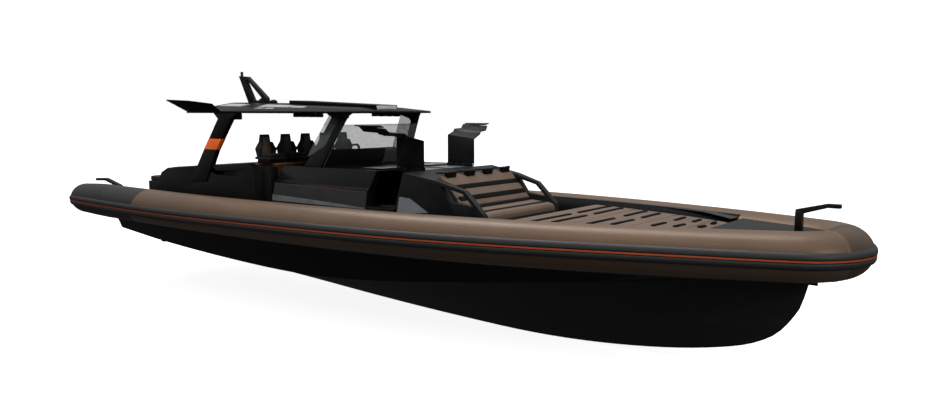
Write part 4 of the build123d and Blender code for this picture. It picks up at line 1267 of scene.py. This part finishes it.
# boxes under the roof: stations, half sizes fore and aft, half breadths and lower face
LAMP_ROWS = [((6.20, 6.42, 6.64, 6.86), 0.07, 1.10, 1.22, 1.972), ((4.55, 4.80), 0.09, 1.52, 1.64, 1.915)]


def on_quad(quad, u, v):
    """A point of a quad, as fractions along and up it."""
    a, b, c, d = (Vector(p) for p in quad)
    return place(*a.lerp(b, u).lerp(d.lerp(c, u), v))


class RIB_OT_roof(bpy.types.Operator):
    """Roof, hatch, winglets and mast"""
    bl_idname = "rib.roof"
    bl_label = "Roof"

    def execute(self, context):
        rounded_node("roof", "roof", "black_shell", 0.012)
        parts = []
        for quad, u0, u1, v0, v1 in ROOF_PANELS:
            ring = [on_quad(quad, u, v) - PANEL_SUNK for u, v in ((u0, v0), (u1, v0), (u1, v1), (u0, v1))]
            parts.append(plate(ring, PANEL_RISE))
        new_piece("roof_panels", *both_sides(joined(parts)), "panel", "glass", welded=False)
        hatch = plate([place(x, -HATCH_Y, z) for x, z in HATCH_SIDE], Vector((0, 2 * HATCH_Y, 0)))
        bevelled(new_piece("hatch", *hatch, "roof", "black_shell", hides=("roof_hatch",)), 0.008)
        front = plate([place(*p) for p in HATCH_FRONT], Vector((0.006, 0, 0)))
        bevelled(new_piece("hatch_front", *front, "panel", "glass"), 0.002)
        boxes = [box_part(place(x - half, y0, z), place(x + half, y1, ROOF_UNDER))
                 for stations, half, y0, y1, z in LAMP_ROWS for x in stations]
        bevelled(new_piece("roof_fixtures", *both_sides(joined(boxes)), "trim", "black_shell",
                           welded=False), 0.02, 3)
        rounded_nodes(("roof_winglets", "roof", "black_shell", 0.006),
                      ("mast_fin", "trim", "black_shell", 0.012))
        return {"FINISHED"}


# ---------------------------------------------------------------- cockpit and helm

SEAT_MID = 5.330
SEAT_PITCH = (HELM_Y - 0.096) / 2
# a helm seat's centre panel and its starboard bolster, seen from forward: across and height
SEAT_CENTRE = [(-0.120, 1.140), (0.120, 1.140), (0.140, 1.300), (0.085, 1.430), (0.058, 1.540),
               (-0.058, 1.540), (-0.085, 1.430), (-0.140, 1.300)]
SEAT_WING = [(0.128, 1.125), (0.205, 1.125), (0.236, 1.290), (0.150, 1.440), (0.098, 1.440), (0.155, 1.300)]
SKIRT_HALF = 0.20
BENCH_BACK = [(1.972, 0.432), (2.418, 0.432), (2.302, 0.786), (2.062, 0.786)]
BENCH_Y = 1.29


class RIB_OT_cockpit(bpy.types.Operator):
    """Coamings, sunpads, bench and the helm's seats"""
    bl_idname = "rib.cockpit"
    bl_label = "Cockpit"

    def execute(self, context):
        rounded_nodes(("coamings", "trim", "black_shell", 0.012), ("aft_base", "trim", "black_shell", 0.012),
                      ("seat_plinth", "brown", "black_shell", 0.012),
                      ("helm_bulkhead", "shell", "black_shell", 0.01))
        self.seats()
        rounded_node("dash", "shell", "black_shell", 0.015)
        rounded_node("steering_wheel", "trim", "black_shell", 0.005, "helm_wheel")
        self.sunpads()
        return {"FINISHED"}

    def seats(self):
        """Bucket seats: black shells and bolsters round a brown centre panel, on a skirt."""
        rounded_node("seat_shells", "bolster", "upholstery", 0.014)
        rounded_node("seat_pads", "bolster", "upholstery", 0.022, segments=3)
        centres, wings, skirts = [], [], []
        front = SEAT_MID - 0.162
        for middle in (SEAT_PITCH * i for i in range(-2, 3)):
            ring = [place(front, middle + y, z) for y, z in SEAT_CENTRE]
            centres.append(plate(ring, Vector((0.026, 0, 0))))
            for side in (-1, 1):
                ring = [place(front, middle + side * y, z) for y, z in SEAT_WING]
                wings.append(plate(ring, Vector((0.075, 0, 0))))
            skirts.append(box_part(place(SEAT_MID - SKIRT_HALF, middle - SKIRT_HALF, 1.001),
                                   place(SEAT_MID + SKIRT_HALF, middle + SKIRT_HALF, 1.081)))
        bevelled(new_piece("seat_skirts", *joined(skirts), "trim", "black_shell", welded=False), 0.012)
        bevelled(new_piece("seat_centres", *joined(centres), "leather", "upholstery", welded=False), 0.012, 3)
        bevelled(new_piece("seat_bolsters", *joined(wings), "bolster", "upholstery", welded=False), 0.024, 3)

    def sunpads(self):
        """The aft sunpad in three columns, and the bench's back and seat."""
        def flat(x0, x1, y, z):
            return [place(x0, -y, z), place(x1, -y, z), place(x1, y, z), place(x0, y, z)]
        y, thick = COCKPIT_Y - 0.01, Vector((0, 0, 0.115))
        pad = cushion("aft_sunpad", flat(1.200, 1.960, y, 0.430), thick, "bolster", ("aft_cushions",), 0.024)
        dented(pad, lambda p: max(channel(p.y - s, 0.035, 0.02) for s in (-0.48, 0.48)))
        back = [place(x, -y, z) for x, z in BENCH_BACK]
        cushion("bench_backrest", back, Vector((0, 2 * y, 0)), voxel=0.024)
        cushion("bench_seat", flat(2.430, 2.980, BENCH_Y, 0.190), thick, voxel=0.024)


# ---------------------------------------------------------------- stern


class RIB_OT_stern(bpy.types.Operator):
    """Stern arms, engines, drives and propellers"""
    bl_idname = "rib.stern"
    bl_label = "Stern gear"

    def execute(self, context):
        rounded_nodes(("stern_arms", "trim", "black_shell", 0.014), ("engines", "iron", "engine_iron", 0.03),
                      ("drive_flanges", "steel", "steel", 0.006))
        for side in ("port", "starboard"):
            rounded_node("drive_" + side, "steel", "steel", 0.008, "drive_" + side)
            rounded_node("propeller_" + side, "bronze", "bronze", 0.003, "propeller_" + side)
        return {"FINISHED"}


# ---------------------------------------------------------------- stage

FLOOR_REACH = 150.0
FLOOR_GAP = 0.02                # the floor's depth below the keel
FLOOR_GLOW = 0.88
# lamps: name, place, size, aim and strength as a share of the key lamp's
LAMPS = [("key", (4.0, -7.5, 12.5), (26.0, 1.8), (4.0, 0.0, 1.0), 1.0),
         ("top", (-1.0, 1.0, 13.0), (20.0, 4.0), (-1.0, 0.0, 1.0), 0.85),
         ("bow", (19.0, -4.0, 6.0), (5.0, 2.0), (2.0, 0.0, 1.0), 0.16)]
SKY_LOW = 0.08                  # the sky's share of its strength below the horizon


def in_scene(name, data, *, at=(0, 0, 0), facing=None):
    """An object of the stage, at a place and facing a direction."""
    piece = bpy.data.objects.new(name, data)
    piece.location = at
    if facing is not None:
        piece.rotation_euler = facing.to_track_quat("-Z", "Y").to_euler()
    bpy.context.scene.collection.objects.link(piece)
    return piece


class RIB_OT_stage(bpy.types.Operator):
    """Floor, lamps, background and camera"""
    bl_idname = "rib.stage"
    bl_label = "Stage"

    def execute(self, context):
        settings = context.scene.rib_stage
        self.floor()
        self.camera(settings)
        for name, at, size, aim, share in LAMPS:
            light = bpy.data.lights.new(name, "AREA")
            light.shape = "RECTANGLE"
            light.size, light.size_y = size
            light.energy = settings.key * share
            lamp = in_scene(name, light, at=at, facing=Vector(aim) - Vector(at))
            lamp.visible_glossy = name != "key"
        self.sky(settings)
        context.scene.view_settings.view_transform = "Standard"
        return {"FINISHED"}

    def floor(self):
        """A pale floor just below the keel, which casts no light on the boat."""
        z = DEEPEST - WATERLINE_Z - FLOOR_GAP
        mesh = bpy.data.meshes.new("floor")
        corners = ((-1, -1), (1, -1), (1, 1), (-1, 1))
        mesh.from_pydata([(x * FLOOR_REACH, y * FLOOR_REACH, z) for x, y in corners], [], [(0, 1, 2, 3)])
        finish = Finish("studio_floor", specular_ior_level=0.0, roughness=1.0, base_color=(0.9, 0.9, 0.9),
                        emission_color=(1.0, 1.0, 1.0), emission_strength=FLOOR_GLOW)
        mesh.materials.append(finish.material)
        floor = in_scene("floor", mesh)
        floor.visible_diffuse = False
        floor.visible_glossy = False

    def camera(self, settings):
        """The camera, from its place, heading and dip."""
        turn, dip = settings.heading, settings.dip
        look = Vector((math.cos(turn) * math.cos(dip), math.sin(turn) * math.cos(dip), -math.sin(dip)))
        lens = bpy.data.cameras.new("camera")
        lens.lens = settings.lens
        lens.sensor_width = 36.0
        lens.clip_end = 400.0
        lens.dof.use_dof = False
        bpy.context.scene.camera = in_scene("camera", lens, at=Vector(settings.camera), facing=look)

    def sky(self, settings):
        """White behind the boat, and a dimmer sky that lights it, darker towards the ground."""
        world = bpy.data.worlds.new("studio")
        world.use_nodes = True
        bpy.context.scene.world = world
        tree = world.node_tree
        tree.nodes.clear()
        made = {key: tree.nodes.new("ShaderNode" + kind) for key, kind in (
            ("out", "OutputWorld"), ("path", "LightPath"), ("seen", "Background"), ("sky", "Background"),
            ("where", "TexCoord"), ("split", "SeparateXYZ"), ("height", "MapRange"), ("either", "Math"),
            ("mix", "MixShader"))}
        made["either"].operation = "MAXIMUM"
        for key, socket, value in (("seen", "Color", (1, 1, 1, 1)), ("seen", "Strength", 1.0),
                                   ("sky", "Strength", settings.fill), ("height", "From Min", -0.25),
                                   ("height", "From Max", 1.0), ("height", "To Min", SKY_LOW)):
            made[key].inputs[socket].default_value = value
        for source, out, target, into in (
                ("where", "Generated", "split", 0), ("split", "Z", "height", "Value"),
                ("height", "Result", "sky", "Color"), ("path", "Is Camera Ray", "either", 0),
                ("path", "Is Transmission Ray", "either", 1), ("either", 0, "mix", 0), ("sky", 0, "mix", 1),
                ("seen", 0, "mix", 2), ("mix", 0, "out", "Surface")):
            tree.links.new(made[source].outputs[out], made[target].inputs[into])


OPERATORS = (RIB_OT_collar, RIB_OT_strake, RIB_OT_hull, RIB_OT_decks, RIB_OT_sunpad, RIB_OT_lounge,
             RIB_OT_superstructure, RIB_OT_doors, RIB_OT_roof, RIB_OT_cockpit, RIB_OT_stern, RIB_OT_stage)
SETTINGS = (("rib_collar", CollarSettings), ("rib_hull", HullSettings), ("rib_soft", SoftSettings),
            ("rib_stage", StageSettings))


class RIB_PT_panel(bpy.types.Panel):
    """Settings and steps of the RIB's finish"""
    bl_idname = "RIB_PT_panel"
    bl_label = "RIB finish"
    bl_space_type = "VIEW_3D"
    bl_region_type = "UI"
    bl_category = "RIB"

    def draw(self, context):
        for name, group in SETTINGS:
            box = self.layout.box()
            for key in group.__annotations__:
                box.prop(getattr(context.scene, name), key)
        for operator in OPERATORS:
            self.layout.operator(operator.bl_idname)


def register():
    for name, group in SETTINGS:
        bpy.utils.register_class(group)
        setattr(bpy.types.Scene, name, PointerProperty(type=group))
    for operator in OPERATORS:
        bpy.utils.register_class(operator)
    bpy.utils.register_class(RIB_PT_panel)


def unregister():
    bpy.utils.unregister_class(RIB_PT_panel)
    for operator in reversed(OPERATORS):
        bpy.utils.unregister_class(operator)
    for name, group in reversed(SETTINGS):
        delattr(bpy.types.Scene, name)
        bpy.utils.unregister_class(group)


def main():
    """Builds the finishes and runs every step."""
    register()
    FINISH.update(make_finishes())
    for node, finish in (("hull_core", "topsides"), ("hull_floors", "deck")):
        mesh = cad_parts[node].data
        mesh.materials.clear()
        mesh.materials.append(FINISH[finish])
    for operator in OPERATORS:
        family, step = operator.bl_idname.split(".")
        if getattr(getattr(bpy.ops, family), step)() != {"FINISHED"}:
            raise RuntimeError(operator.bl_label + " did not finish")


if __name__ == "__main__":
    main()
